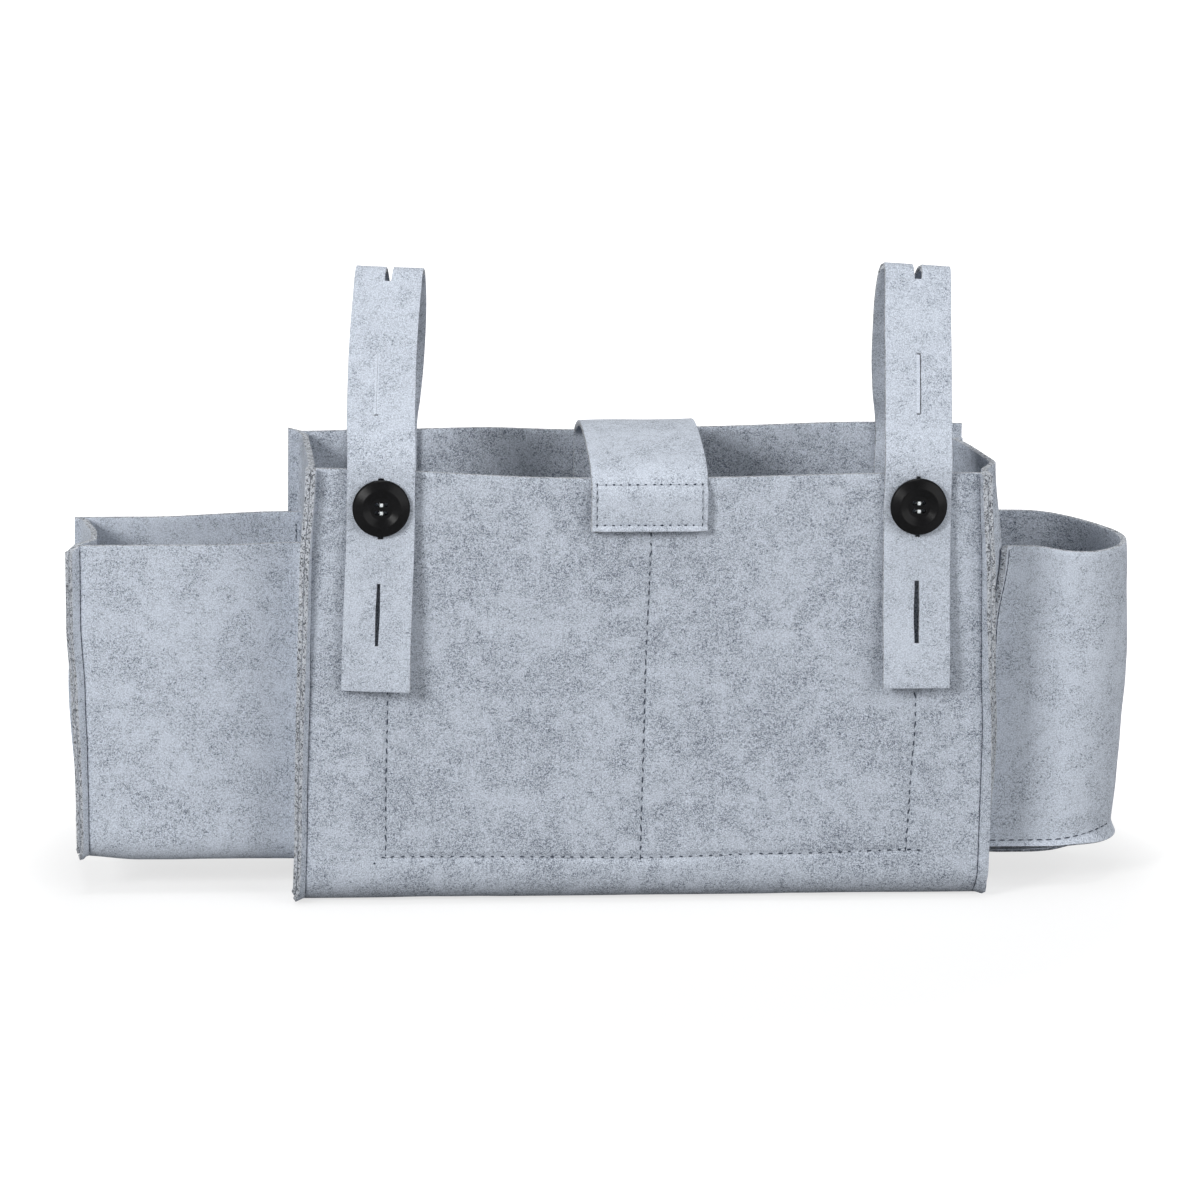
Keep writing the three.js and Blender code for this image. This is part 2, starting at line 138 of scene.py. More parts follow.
# Slits, in the tail, the front leg, the rear leg and under the button: middle from the button on, and length
SLITS = ((-53.0, 31.0), (62.0, 31.0), (131.0, 31.0), (-0.6, 30.2))
NICK = 0.3  # half the cut across an end of a slit
# x: at the button. fold, back: how far to the side the strap stands at its fold and at its sewn end.
# ease: how late it goes there. bow: of the rear leg. lean: of the tail. tip: lift and slant of the fold.
# slits: both sides of each. lip: sides of the strip at the front leg's slit that is painted paler, a painted
# highlight that stands for a raised lip. nicks: its cut ends.
# twisted: the front leg's right edge stands forward.
STRAPS = {
    "left": {
        "x": -131.0, "fold": 6.5, "back": 6.5, "ease": 2.0, "bow": 2.6, "lean": -1.9, "tip": (0.0, -0.045),
        "slits": ((-0.8, 0.8), (-2.3, -2.2), (-0.8, 0.8), (-1.4, 1.4)), "lip": (-3.3, -1.4), "nicks": (-1,),
        "twisted": True,
    },
    "right": {
        "x": 132.0, "fold": 4.8, "back": 9.0, "ease": 1.0, "bow": -4.2, "lean": 0.8, "tip": (1.2, -0.05),
        "slits": ((-1.1, 1.1), (0.7, 1.1), (-1.1, 1.1), (-1.1, 1.1)), "lip": (-1.1, 1.1), "nicks": (-1, 1),
        "twisted": False,
    },
}

# Buttons
BUTTON_Z = 200.3
BUTTON_RADIUS = 14.0
BUTTON_BACK = -54.9
BUTTON_FACE = -59.1
BUTTON_MIDDLE = (BUTTON_BACK + BUTTON_FACE) / 2
BUTTON_BEVEL = 0.18
DISH_DEPTH = 1.9
BUTTON_FORM = (  # radius, depth
    (0.0, DISH_DEPTH), (5.4, DISH_DEPTH), (9.0, 0.1), (9.4, 0.0), (13.4, 2.0), (BUTTON_RADIUS, 2.6),
)
BUTTON_INSETS = (0.6, 0.3, 1.7, 1.7, 0.3, 0.4, 0.3, 1.5, 1.5, 0.3)  # rings from its edge to the dish's floor
HOLE_RADIUS = 1.1
HOLE_X = 2.2
HOLE_Z = 2.0
STRAND_RADIUS = 0.36
STRAND_CUTS = (0.0, -0.4, -0.3, -0.15, 0.15, 0.3, 0.4)

# Closing tab, drawn along its middle line
TAB_WIDTH = 57.0
TAB_FRONT = -54.1
TAB_LOW = 188.0
TAB_ROOT = 182.0
TAB_TURN = 222.0
PATCH_WIDTH = 53.0
PATCH_HEIGHT = 22.0
PATCH_LOW = 189.5
PATCH_THICK = 1.0
LOOP_FACE = -51.3
HOOK_FACE = -51.4

# Stitching
STITCH = 4.9
STITCH_LIFT = 0.25  # of its middle above the felt's face
STITCH_DIVE = 1.1  # of its ends, in widths of the thread
STITCH_CUTS = (-0.36, -0.2, 0.0, 0.2, 0.36)
TAB_STITCH = 4.1
SEAM_STITCH = 4.6
EDGE_STITCH = 2.9
KNOTS = ((-131.9, 21.3), (135.6, 17.8))  # on the front panel
KNOT_SIZE = (1.1, 1.0, 0.5)
GROOVE = 2.2  # half the width of the groove that a row of stitches pulls
# Rows of stitching that show on the front panel: the U round the inner pocket, and its middle
ROW_LEFT = ((24, -126.6), (70, -127.0), (189, -128.0))
ROW_MIDDLE = ((20, -1.2), (103, -0.4), (189, 1.3))
ROW_RIGHT = ((20, 128.9), (51, 130.2), (102, 132.4), (120, 131.0), (150, 129.0), (189, 129.0))
ROW_LOW = ((-128, 24.3), (-71, 23.8), (0, 22.6), (68, 24.0), (135.5, 25.4))
# Row round the hook patch
TAB_ROWS_X = 25.8
TAB_ROW_LOW = 191.4
TAB_ROW_TOP = 210.9

# Meshes: extra lines of points beside a crease, an end wall's bend and a row of stitches
WELD = 0.02  # points this near become one
CREASE_STEPS = (-2.0, -1.0, -0.5, 0.0, 0.5, 1.0, 2.0)
BEND_STEPS = (5.0, 6.0, 6.5, 7.2, 8.0, 9.0, 10.5)
ROW_STEPS = (-3.3, -2.2, -1.1, 0.0, 1.1, 2.2, 3.3)
TAB_ROW_STEPS = (-1.8, -0.8, 0, 0.8, 1.8)

# Camera
IMAGE = 1200
TARGET = Vector((-23.3, -50.0, 153.2))
AZIMUTH = math.radians(-5.577)
ELEVATION = math.radians(12.155)
ROLL = math.radians(0.879)
DISTANCE = 2704.0
FOCAL_PIXELS = 5530.0
SENSOR = 36.0

# Light: where each lamp stands, its size and its watts
LAMPS = {
    "key": ((-2.25, -2.25, 1.5), (1.0, 1.0), 78.0),
    "side": ((2.3, -2.1, 1.15), (2.6, 2.6), 61.0),
    "top": ((-0.2, -0.3, 2.8), (1.2, 1.2), 23.0),
    "back": ((0.7, 2.6, 1.3), (2.0, 2.0), 13.0),
}
LAMP_AIM = Vector((0.0, 0.0, 0.12))
ROOM_LIGHT = 0.2
ROOM_TINT = (0.94, 0.97, 1.0, 1.0)
FLOOR_GREY = (0.31, 0.31, 0.31, 1.0)
FLOOR_SHADED = 0.7  # how bright the floor shows round the foot
FLOOR_RISE = 0.38  # and how much more beyond
SHADOW_MIDDLE = (-0.018, 0.0, 0.0)
SHADOW_REACH = (0.262, 0.37)  # the floor is white beyond it


# Small tools


def unit(value):
    """Kept between 0 and 1."""
    return min(max(value, 0.0), 1.0)


def smooth(low, high, value):
    """0 up to low, 1 from high, and an even rise between them."""
    share = unit((value - low) / (high - low))
    return share * share * (3.0 - 2.0 * share)


def hump(value, centre, half):
    """1 at the centre, falling to 0 at a half width to either side."""
    return 1.0 - smooth(0.0, half, abs(value - centre))


def mixed(a, b, share):
    """A value on the way from a to b."""
    return a + (b - a) * share


def along_table(rows, value, eased=True):
    """A value read between the rows of a short table, with an even or a straight run from row to row."""
    for (low, a), (high, b) in zip(rows, rows[1:]):
        if value <= high:
            straight = max((value - low) / (high - low), 0.0)
            return mixed(a, b, smooth(low, high, value) if eased else straight)
    return rows[-1][1]


def wavy(x, y, z, size, seed):
    """An even unevenness between about -1 and 1."""
    return noise.noise(Vector((x / size + seed, y / size, z / size + 2 * seed)))


def waves(u, v, kinds):
    """Waves of several heights and lengths on a sheet."""
    return sum(height * wavy(u, v, 0.0, length, seed) for height, length, seed in kinds)


def evenly(a, b, count):
    """Places from a to b, a count of equal steps apart."""
    return [mixed(a, b, i / count) for i in range(count + 1)]


def stations(start, end, step, *exact):
    """Places from start to end, about a step apart, that include the exact ones."""
    fixed = sorted({start, end, *exact})
    places = []
    for low, high in zip(fixed, fixed[1:]):
        count = max(1, round((high - low) / step))
        places += [low + (high - low) * i / count for i in range(count)]
    return places + [fixed[-1]]


def arc(centre, radius, start, end, steps):
    """Points of an arc in a plane, angles in degrees."""
    points = []
    for degrees in evenly(start, end, steps):
        angle = math.radians(degrees)
        points.append(Vector((centre[0] + radius * math.cos(angle), centre[1] + radius * math.sin(angle))))
    return points


def bow(a, b, c, steps=12):
    """Points of a bent run from a to c that leaves a towards b."""
    a, b, c = Vector(a), Vector(b), Vector(c)
    return [a.lerp(b, t).lerp(b.lerp(c, t), t) for t in evenly(0.0, 1.0, steps)]


class Path:
    """A bent line, measured along its length."""

    def __init__(self, points):
        self.points = [Vector(points[0])]
        for point in points[1:]:
            if (Vector(point) - self.points[-1]).length > 1e-6:
                self.points.append(Vector(point))
        self.marks = [0.0]
        for a, b in zip(self.points, self.points[1:]):
            self.marks.append(self.marks[-1] + (b - a).length)
        self.length = self.marks[-1]

    def at(self, distance):
        """The point at a distance, and the way the line runs there."""
        i = min(max(bisect.bisect_right(self.marks, distance) - 1, 0), len(self.points) - 2)
        a, b = self.points[i], self.points[i + 1]
        run = b - a
        return a + run * ((distance - self.marks[i]) / run.length), run.normalized()

    def around(self, distance, reach=2.0):
        """As at, with the way evened out over a short reach."""
        point, _ = self.at(distance)
        ahead, _ = self.at(min(distance + reach, self.length))
        behind, _ = self.at(max(distance - reach, 0.0))
        return point, (ahead - behind).normalized()


def turned(along, angle, half):
    """A sheet bent by an angle over a short arc: how far along, how far up, and the angle reached."""
    run = along + half
    if run <= 0.0 or angle < 1e-4:
        return along, 0.0, 0.0
    radius = 2 * half / angle
    if run < 2 * half:
        reached = run / radius
        return radius * math.sin(reached) - half, radius * (1 - math.cos(reached)), reached
    rest = run - 2 * half
    out = radius * math.sin(angle) + rest * math.cos(angle) - half
    return out, radius * (1 - math.cos(angle)) + rest * math.sin(angle), angle


# Materials


class Wire:
    """An output of a finish's nodes, which Python's operators reckon with."""

    def __init__(self, finish, socket):
        self.finish = finish
        self.socket = socket

    def reckon(self, operation, a, b):
        """One step of arithmetic."""
        return self.finish.node("ShaderNodeMath", {"operation": operation}, {0: a, 1: b})

    def __add__(self, other):
        return self.reckon("ADD", self, other)

    __radd__ = __add__

    def __sub__(self, other):
        return self.reckon("SUBTRACT", self, other)

    def __rsub__(self, other):
        return self.reckon("SUBTRACT", other, self)

    def __mul__(self, other):
        return self.reckon("MULTIPLY", self, other)

    __rmul__ = __mul__

    def __abs__(self):
        return self.reckon("ABSOLUTE", self, 0.0)

    def rise(self, low, high):
        """0 up to low, 1 from high, and an even rise between them."""
        inputs = {"Value": self, "From Min": low, "From Max": high}
        return self.finish.node("ShaderNodeMapRange", {"interpolation_type": "SMOOTHSTEP"}, inputs)


class Finish:
    """A material, or the world, that is written as expressions."""

    def __init__(self, name, world=None):
        self.material = world or bpy.data.materials.new(name)
        self.material.use_nodes = True
        self.tree = self.material.node_tree
        self.shader = self.tree.nodes["Background" if world else "Principled BSDF"]

    def node(self, kind, settings=None, inputs=None, output=0):
        """A node of a kind, with its settings and inputs, as one of its outputs."""
        made = self.tree.nodes.new(kind)
        for key, value in (settings or {}).items():
            setattr(made, key, value)
        for key, value in (inputs or {}).items():
            self.plug(made.inputs[key], value)
        return Wire(self, made.outputs[output])

    def plug(self, socket, value):
        """A link or a plain value into a socket."""
        if isinstance(value, Wire):
            self.tree.links.new(value.socket, socket)
        else:
            socket.default_value = value

    def set(self, **values):
        """Inputs of the surface shader, words joined with an underscore."""
        for key, value in values.items():
            self.plug(self.shader.inputs[key.replace("_", " ")], value)

    def place(self, name):
        """The attribute that keeps where a point lies on the flat piece."""
        return self.node("ShaderNodeAttribute", {"attribute_name": name}, output="Vector")

    def here(self):
        """Where a point lies in the frame, in metres."""
        return self.node("ShaderNodeTexCoord", output="Object")

    def grain(self, where, size, detail=2.0, roughness=0.5, warp=0.0):
        """Noise whose lumps are about a size across, in the unit of where."""
        inputs = {"Vector": where, "Scale": 1.0 / size, "Distortion": warp}
        inputs |= {"Detail": detail, "Roughness": roughness}
        return self.node("ShaderNodeTexNoise", {}, inputs, "Fac")

    def between(self, share, a, b):
        """A colour between two others."""
        return self.node("ShaderNodeMix", {"data_type": "RGBA"}, {0: share, 6: a, 7: b}, 2)

    def relief(self, height, depth, strength):
        """A normal from a height between 0 and 1, for a depth in millimetres."""
        inputs = {"Height": height, "Distance": depth * MM, "Strength": strength}
        return self.node("ShaderNodeBump", {}, inputs)


def tone(red, green, blue):
    """A colour as a screen shows it, as the shader wants it."""
    parts = [value / 255.0 for value in (red, green, blue)]
    return tuple(c / 12.92 if c <= 0.04045 else ((c + 0.055) / 1.055) ** 2.4 for c in parts) + (1.0,)


FELT_PALE = tone(208, 215, 225)
FELT_PLAIN = tone(186, 193, 205)
FELT_DARK = tone(88, 95, 107)
CUT_PALE = tone(216, 220, 226)
CUT_PLAIN = tone(176, 181, 189)
CUT_DARK = tone(58, 61, 67)
THREAD_PALE = tone(200, 206, 214)
THREAD_PLAIN = tone(150, 157, 167)
WAXED_PALE = tone(240, 244, 244)
WAXED_PLAIN = tone(196, 203, 206)


def felt_finish(name, dark_share, drop):
    """Pressed melange felt: pale wool with short dark fibres that gather in clouds."""
    felt = Finish(name)
    cloth = felt.place("cloth")
    drift = felt.grain(cloth, 30.0, 2.0)
    cloud = felt.grain(cloth, 8.0, 3.0, 0.6, 0.5)
    density = (0.4 * drift + 0.6 * cloud).rise(0.34, 0.66)
    fleck = felt.grain(cloth, 1.15, 2.0, 0.6, 1.0)
    speck = felt.grain(cloth, 0.6, 1.0, 0.5, 0.5)
    fibres = strands(felt, cloth, 2.6, 0.05)
    for size, width in ((1.7, 0.06), (1.2, 0.07)):
        fibres += strands(felt, cloth, size, width)
    grain = (0.4 * fleck + 0.6 * speck).rise(0.38, 0.64)
    shade = 0.44 * grain * (0.6 + 0.5 * density) + 0.72 * fibres * (0.28 + 0.72 * density) + 0.05 * density
    pale = felt.between(speck.rise(0.36, 0.64), FELT_PALE, FELT_PLAIN)
    felt.set(Base_Color=felt.between((dark_share * shade - drop).rise(-0.12, 1.05), pale, FELT_DARK))
    felt.set(Normal=felt.relief(0.6 * speck + 0.4 * fleck, 0.5, 0.45))
    felt.set(Roughness=0.95, Specular_IOR_Level=0.15, Sheen_Weight=0.1, Sheen_Roughness=0.6)
    return felt.material


def strands(finish, cloth, size, width):
    """Thin curled lines broken into short fibres."""
    curl = finish.grain(cloth, size, 2.0, 0.55, 2.2)
    line = 1.0 - abs(curl - 0.5).rise(0.0, width)
    return line * finish.grain(cloth, 0.8 * size, 1.0).rise(0.46, 0.60)


def cut_finish(name, pale, plain, dark, share):
    """The felt's raw cut edge, where the dark and pale fibres end."""
    cut = Finish(name)
    cloth = cut.place("cloth")
    coarse = cut.grain(cloth, 1.7, 2.0, 0.6, 1.2)
    fine = cut.grain(cloth, 0.9, 2.0, 0.6, 0.8)
    holes = (0.55 * coarse + 0.45 * fine).rise(share - 0.04, share + 0.05)
    light = cut.between(fine.rise(0.4, 0.6), plain, pale)
    cut.set(Base_Color=cut.between(0.92 * holes, light, dark))
    cut.set(Normal=cut.relief(0.6 * coarse + 0.4 * fine, 1.2, 0.8))
    cut.set(Roughness=0.97, Specular_IOR_Level=0.1, Sheen_Weight=0.15, Sheen_Roughness=0.6)
    return cut.material


def thread_finish(name, size, dark, pale, strength, roughness, gloss):
    """Thread with plies of a size, in two tones."""
    thread = Finish(name)
    ply = thread.grain(thread.here(), size * MM, 2.0)
    thread.set(Base_Color=thread.between(ply.rise(0.35, 0.65), dark, pale))
    thread.set(Normal=thread.relief(ply, 0.2, strength), Roughness=roughness, Specular_IOR_Level=gloss)
    return thread.material


def pit_finish():
    """Shaded felt in a needle hole, and the painted shade of a crease where pits run end to end."""
    pit = Finish("needle_hole")
    lump = pit.grain(pit.here(), 0.5 * MM, 2.0)
    pit.set(Base_Color=pit.between(lump.rise(0.35, 0.65), tone(52, 57, 66), tone(88, 94, 106)))
    pit.set(Roughness=1.0, Specular_IOR_Level=0.0)
    return pit.material


def button_finish():
    """Black satin plastic, a little smeared and dusty."""
    black = Finish("button_plastic")
    here = black.here()
    smear = black.grain(here, 2.2 * MM, 3.0, 0.6)
    dust = black.grain(here, 0.25 * MM, 2.0, 0.6)
    black.set(Base_Color=black.between(smear.rise(0.3, 0.7), tone(5, 5, 6), tone(12, 12, 14)))
    black.set(Roughness=0.24 + 0.12 * smear, Specular_IOR_Level=0.085)
    black.set(Normal=black.relief(0.7 * dust + 0.3 * smear, 0.06, 0.35))
    return black.material


def hook_finish():
    """Hook tape: rows of small stiff hooks on a woven ground."""
    tape = Finish("hook_tape")
    cloth = tape.place("cloth")
    inputs = {"Vector": cloth, "Scale": 0.8, "Randomness": 0.35}
    cells = tape.node("ShaderNodeTexVoronoi", {}, inputs, "Distance")
    hook = 1.0 - cells.rise(0.15, 0.5)
    tape.set(Base_Color=tape.between(hook, tone(120, 127, 137), tone(178, 185, 194)))
    tape.set(Normal=tape.relief(hook, 1.0, 0.8), Roughness=0.6)
    return tape.material


def loop_finish():
    """Loop tape: a brushed mat of fine loops."""
    tape = Finish("loop_tape")
    cloth = tape.place("cloth")
    loops = tape.grain(cloth, 0.9, 3.0, 0.65, 2.2)
    tape.set(Base_Color=tape.between(loops.rise(0.35, 0.65), tone(138, 146, 157), tone(196, 203, 212)))
    tape.set(Normal=tape.relief(loops, 1.0, 0.8), Roughness=0.9, Sheen_Weight=0.2)
    return tape.material


FELT_LOOK = felt_finish("felt", 1.0, 0.0)
PALE_FELT_LOOK = felt_finish("felt_pale", 0.68, 0.015)
SIDE_FELT_LOOK = felt_finish("felt_side", 0.92, 0.085)
# A paler copy of the felt, painted light: on the bottle pocket's outer face and inside the box pocket.
PAINTED_LIGHT_FELT_LOOK = felt_finish("felt_cup", 0.9, 0.15)
# A much paler felt for the strip beside a strap's slit: a painted highlight that stands for a raised lip.
LIP_HIGHLIGHT_LOOK = felt_finish("felt_lip_painted_highlight", 0.25, 0.05)
CUT_LOOK = cut_finish("felt_cut_edge", CUT_PALE, CUT_PLAIN, CUT_DARK, 0.52)
# A darker copy of the cut finish: painted shade on cut edges that lie in shadow under the bottle pocket's
# foot.
SHADED_CUT_LOOK = cut_finish("felt_cut_edge_painted_shade", CUT_PLAIN, FELT_DARK, CUT_DARK, 0.50)
THREAD_LOOK = thread_finish("sewing_thread", 0.45, THREAD_PLAIN, THREAD_PALE, 0.5, 0.7, 0.3)
BUTTON_THREAD_LOOK = thread_finish("button_thread", 0.5, WAXED_PLAIN, WAXED_PALE, 0.4, 0.55, 0.5)
PIT_LOOK = pit_finish()
BUTTON_LOOK = button_finish()
HOOK_LOOK = hook_finish()
LOOP_LOOK = loop_finish()


# Making pieces


def fresh():
    """Nothing selected, and out of edit mode."""
    if bpy.context.object and bpy.context.object.mode != "OBJECT":
        bpy.ops.object.mode_set(mode="OBJECT")
    bpy.ops.object.select_all(action="DESELECT")


def finish_with(piece, kind, **settings):
    """A modifier, applied."""
    modifier = piece.modifiers.new(kind.lower(), kind)
    for key, value in settings.items():
        setattr(modifier, key, value)
    bpy.context.view_layer.objects.active = piece
    bpy.ops.object.modifier_apply(modifier=modifier.name)


def pick_faces(piece, wanted):
    """Into edit mode, with only the wanted faces selected."""
    bpy.ops.object.mode_set(mode="EDIT")
    bpy.ops.mesh.select_mode(type="FACE")
    bpy.ops.mesh.select_all(action="DESELECT")
    bpy.ops.object.mode_set(mode="OBJECT")
    for face in piece.data.polygons:
        face.select = wanted(face)
    bpy.ops.object.mode_set(mode="EDIT")


def edit_whole(operator, **settings):
    """One edit to the whole of the mesh that is active."""
    bpy.ops.object.mode_set(mode="EDIT")
    bpy.ops.mesh.select_all(action="SELECT")
    operator(**settings)
    bpy.ops.object.mode_set(mode="OBJECT")


def wear(piece, *looks):
    """Materials, in place of any that it has."""
    piece.data.materials.clear()
    for look in looks:
        piece.data.materials.append(look)


def smoothed(piece, degrees):
    """Smooth shading, apart from edges sharper than an angle."""
    fresh()
    piece.select_set(True)
    bpy.context.view_layer.objects.active = piece
    bpy.ops.object.shade_smooth_by_angle(angle=math.radians(degrees))


def flat_sheet(name, across, along, place, cut_outs, nap, press):
    """A flat grid laid into place. A point keeps where it lay on the flat piece, shifted by nap."""
    fresh()
    bpy.ops.mesh.primitive_grid_add(x_subdivisions=len(across) - 1, y_subdivisions=len(along) - 1, size=1)
    piece = bpy.context.object
    piece.name = name
    piece.data.name = name
    thinned = piece.vertex_groups.new(name="press")
    flat = []
    for vertex in piece.data.vertices:
        u = across[round((vertex.co.x + 0.5) * (len(across) - 1))]
        v = along[round((vertex.co.y + 0.5) * (len(along) - 1))]
        flat.append((u, v))
        thinned.add([vertex.index], press(u, v) if press else 1.0, "REPLACE")
        vertex.co = Vector(place(u, v)) * MM
    cloth = piece.data.attributes.new("cloth", "FLOAT_VECTOR", "POINT")
    for (u, v), spot in zip(flat, cloth.data):
        spot.vector = (u + nap[0], v + nap[1], 0.0)
    gone = set()
    for face in piece.data.polygons:
        u = sum(flat[i][0] for i in face.vertices) / len(face.vertices)
        v = sum(flat[i][1] for i in face.vertices) / len(face.vertices)
        if any(low_u < u < high_u and low_v < v < high_v for low_u, high_u, low_v, high_v in cut_outs):
            gone.add(face.index)
    if gone:
        pick_faces(piece, lambda face: face.index in gone)
        bpy.ops.mesh.delete(type="FACE")
        bpy.ops.object.mode_set(mode="OBJECT")
    return piece


def thicken(piece, thickness, offset, edge, lining):
    """Give a sheet its thickness, with the edge rounded, and keep its depth for the grain."""
    sheet_points = len(piece.data.vertices)
    finish_with(
        piece, "SOLIDIFY", thickness=thickness * MM, offset=offset, use_even_offset=True,
        material_offset_rim=1, material_offset=lining, vertex_group="press", thickness_vertex_group=0.0,
    )
    cloth = piece.data.attributes["cloth"].data
    for i in range(sheet_points, len(piece.data.vertices)):
        cloth[i].vector.z = thickness
    sharp = math.radians(55)
    finish_with(piece, "BEVEL", width=edge * MM, segments=2, limit_method="ANGLE", angle_limit=sharp)


def felt_piece(
    name, across, along, place, cut_outs=(), nap=(0, 0), offset=-1.0, over=False, welded=False,
    thickness=FELT, edge=0.35, looks=(FELT_LOOK, CUT_LOOK), press=None, lining=0,
):
    """A cut piece of felt. over turns the face that place describes to the other side.

    looks are those of the face, the cut edge and any others, and lining says which one the far face has.
    """
    piece = flat_sheet(name, across, along, place, cut_outs, nap, press)
    if welded:
        edit_whole(bpy.ops.mesh.remove_doubles, threshold=WELD * MM)
    if over:
        edit_whole(bpy.ops.mesh.flip_normals)
    wear(piece, *looks)
    thicken(piece, thickness, offset, edge, lining)
    smoothed(piece, 50)
    return piece


def sewn(piece, body, nodes):
    """Ride on a body, and hide the nodes that it stands for."""
    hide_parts(*nodes)
    if body:
        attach(piece, body)


# Main compartment


def folded(near, far, low, high, radius):
    """A sheet folded into front, bottom and back, seen from its end, from the front edge on."""
    points = [Vector((near, high))]
    points += arc((near + radius, low + radius), radius, 180, 270, 10)
    points += arc((far - radius, low + radius), radius, 270, 360, 10)
    return Path(points + [Vector((far, high))])


BODY = folded(FRONT, BACK, 0.0, RIM, BODY_FOLD)
POCKET = folded(POCKET_FRONT, POCKET_BACK, POCKET_LOW, POCKET_TOP, POCKET_FOLD)


def rim_lift(x, y, z):
    """How far the soft rim stands above or below its plain height."""
    place = min(max(x / END, -1.0), 1.0)
    ahead = along_table(FRONT_RIM, place) - RIM
    behind = along_table(BACK_RIM, place) - RIM + 1.7 * smooth(END, END + 6.0, -x)
    return mixed(ahead, behind, smooth(FRONT, BACK, y)) * smooth(90.0, RIM, z)


def body_crease(side, y, z):
    """Half the width between the creases."""
    return mixed(along_table(CREASES[side], z), END, smooth(FRONT, BACK, y))


def body_turn(side, normal, z):
    """How far the front flange has turned forward."""
    return math.radians(along_table(TURNS[side], z)) * smooth(0.3, 1.0, -normal.x)


def body_bulge(side, y, z):
    """How far an end wall stands out from its plane."""
    back_share = (y - FRONT) / (BACK - FRONT)
    spread = smooth(0.0, 0.24, back_share) * unit((1.0 - back_share) / 0.76)
    return spread * along_table(END_BULGES[side], z)


def outward(way):
    """The outer side of a folded sheet, from the way it runs."""
    return Vector((way.y, -way.x))


def seam_point(crease, side, base, normal, angle, along, depth):
    """A point on a seam allowance, along from the crease and depth behind the outer layer."""
    out, up, reached = turned(along, angle, CREASE_BEND)
    x = side * (crease + out + depth * math.sin(reached))
    lift = up - depth * math.cos(reached)
    return Vector((x, base.x + normal.x * lift, base.y + normal.y * lift))


def ear(normal):
    """Where the allowance gathers into a small ear, at the front foot."""
    return hump(normal.x, -0.55, 0.34) if normal.y < -0.2 else 0.0


def seam_width(side, normal, z):
    """Share of the allowance that shows: narrower along the front, longer where it gathers."""
    ahead = smooth(0.2, 0.9, -normal.x)
    behind = smooth(0.2, 0.9, normal.x)
    below = smooth(0.7, 1.0, -normal.y)
    shown = FRONT_SEAM if side > 0 else mixed(4.0, FRONT_SEAM, smooth(30.0, 130.0, z))
    hidden = 0.5 * below + (0.4 if side > 0 else 0.5 - 0.5 * smooth(30.0, 90.0, z)) * behind
    return 1.0 - (1.0 - shown / SEAM) * ahead - hidden + (0.12 if side > 0 else 0.2) * ear(normal)


def seam_dip(normal, beyond):
    """How deep the outer layer lies near its crease: the seam pulls it in, and its ear stands out."""
    pulled = 0.9 * hump(beyond, 0.0, 0.8) * smooth(0.2, 0.7, -normal.x)
    return pulled - 1.8 * ear(normal) * smooth(1.0, 4.0, beyond)


def pressed(beyond):
    """Share of its thickness that the felt keeps, beyond a crease."""
    return mixed(1.0, PRESS, smooth(-3.0, 2.0, beyond))


def lay_body(u, v):
    """u runs from the middle to the ends, v from the front rim round the bottom to the back rim."""
    base, way = BODY.around(v)
    normal = outward(way)
    side = 1 if u > 0 else -1
    crease = body_crease(side, base.x, base.y)
    beyond = abs(u) - END
    if beyond > -2.0:
        angle = body_turn(side, normal, base.y)
        dip = seam_dip(normal, beyond)
        beyond *= seam_width(side, normal, base.y) if beyond > 0 else 1.0
        point = seam_point(crease, side, base, normal, angle, beyond, dip)
    else:
        point = Vector((u * crease / END, base.x, base.y))
    loose = smooth(0.0, 30.0, END - abs(u)) * (1.0 - hump(u, 0.0, 60.0) * smooth(160.0, 186.0, base.y))
    swell = waves(u, v, BODY_WAVES)
    swell += FOOT_WAVE * wavy(u, v, 0.0, 42.0, 9.4) * hump(base.y, 14.0, 22.0) * smooth(0.2, 0.6, -normal.x)
    swell -= front_groove(u, base.y) if normal.x < -0.9 else 0.0
    point.y += normal.x * swell * loose
    point.z += normal.y * min(swell, 0.0) * loose + rim_lift(point.x, base.x, base.y)
    return point


def front_groove(x, z):
    """How deep the stitching pulls in the front panel."""
    if z > INNER_TOP or z < 18:
        return 0.0
    rows = [hump(x, along_table(row, z), GROOVE) for row in (ROW_LEFT, ROW_MIDDLE, ROW_RIGHT)]
    low = along_table(ROW_LOW, x)
    above = smooth(low - 2.0, low, z)
    across = hump(z, low, GROOVE) if ROW_LOW[0][0] < x < ROW_LOW[-1][0] else 0.0
    return max(above * max(rows), across)


def body_wrap():
    """Front, bottom and back in one sheet."""
    near_rows = [row + step for row in (-128.0, 0.0, 131.8) for step in ROW_STEPS]
    creases = [side * (END + step) for side in (-1, 1) for step in CREASE_STEPS]
    across = stations(-END - SEAM, END + SEAM, 3.4, *near_rows, *creases)
    low_row = [RIM - 24.0 + step for step in ROW_STEPS]
    along = stations(0.0, BODY.length, 3.2, *low_row)
    piece = felt_piece(
        "felt_body", across, along, lay_body, nap=(400, 0), over=True,
        press=lambda u, v: pressed(abs(u) - END),
    )
    sewn(piece, "caddy", ["body_wrap"])


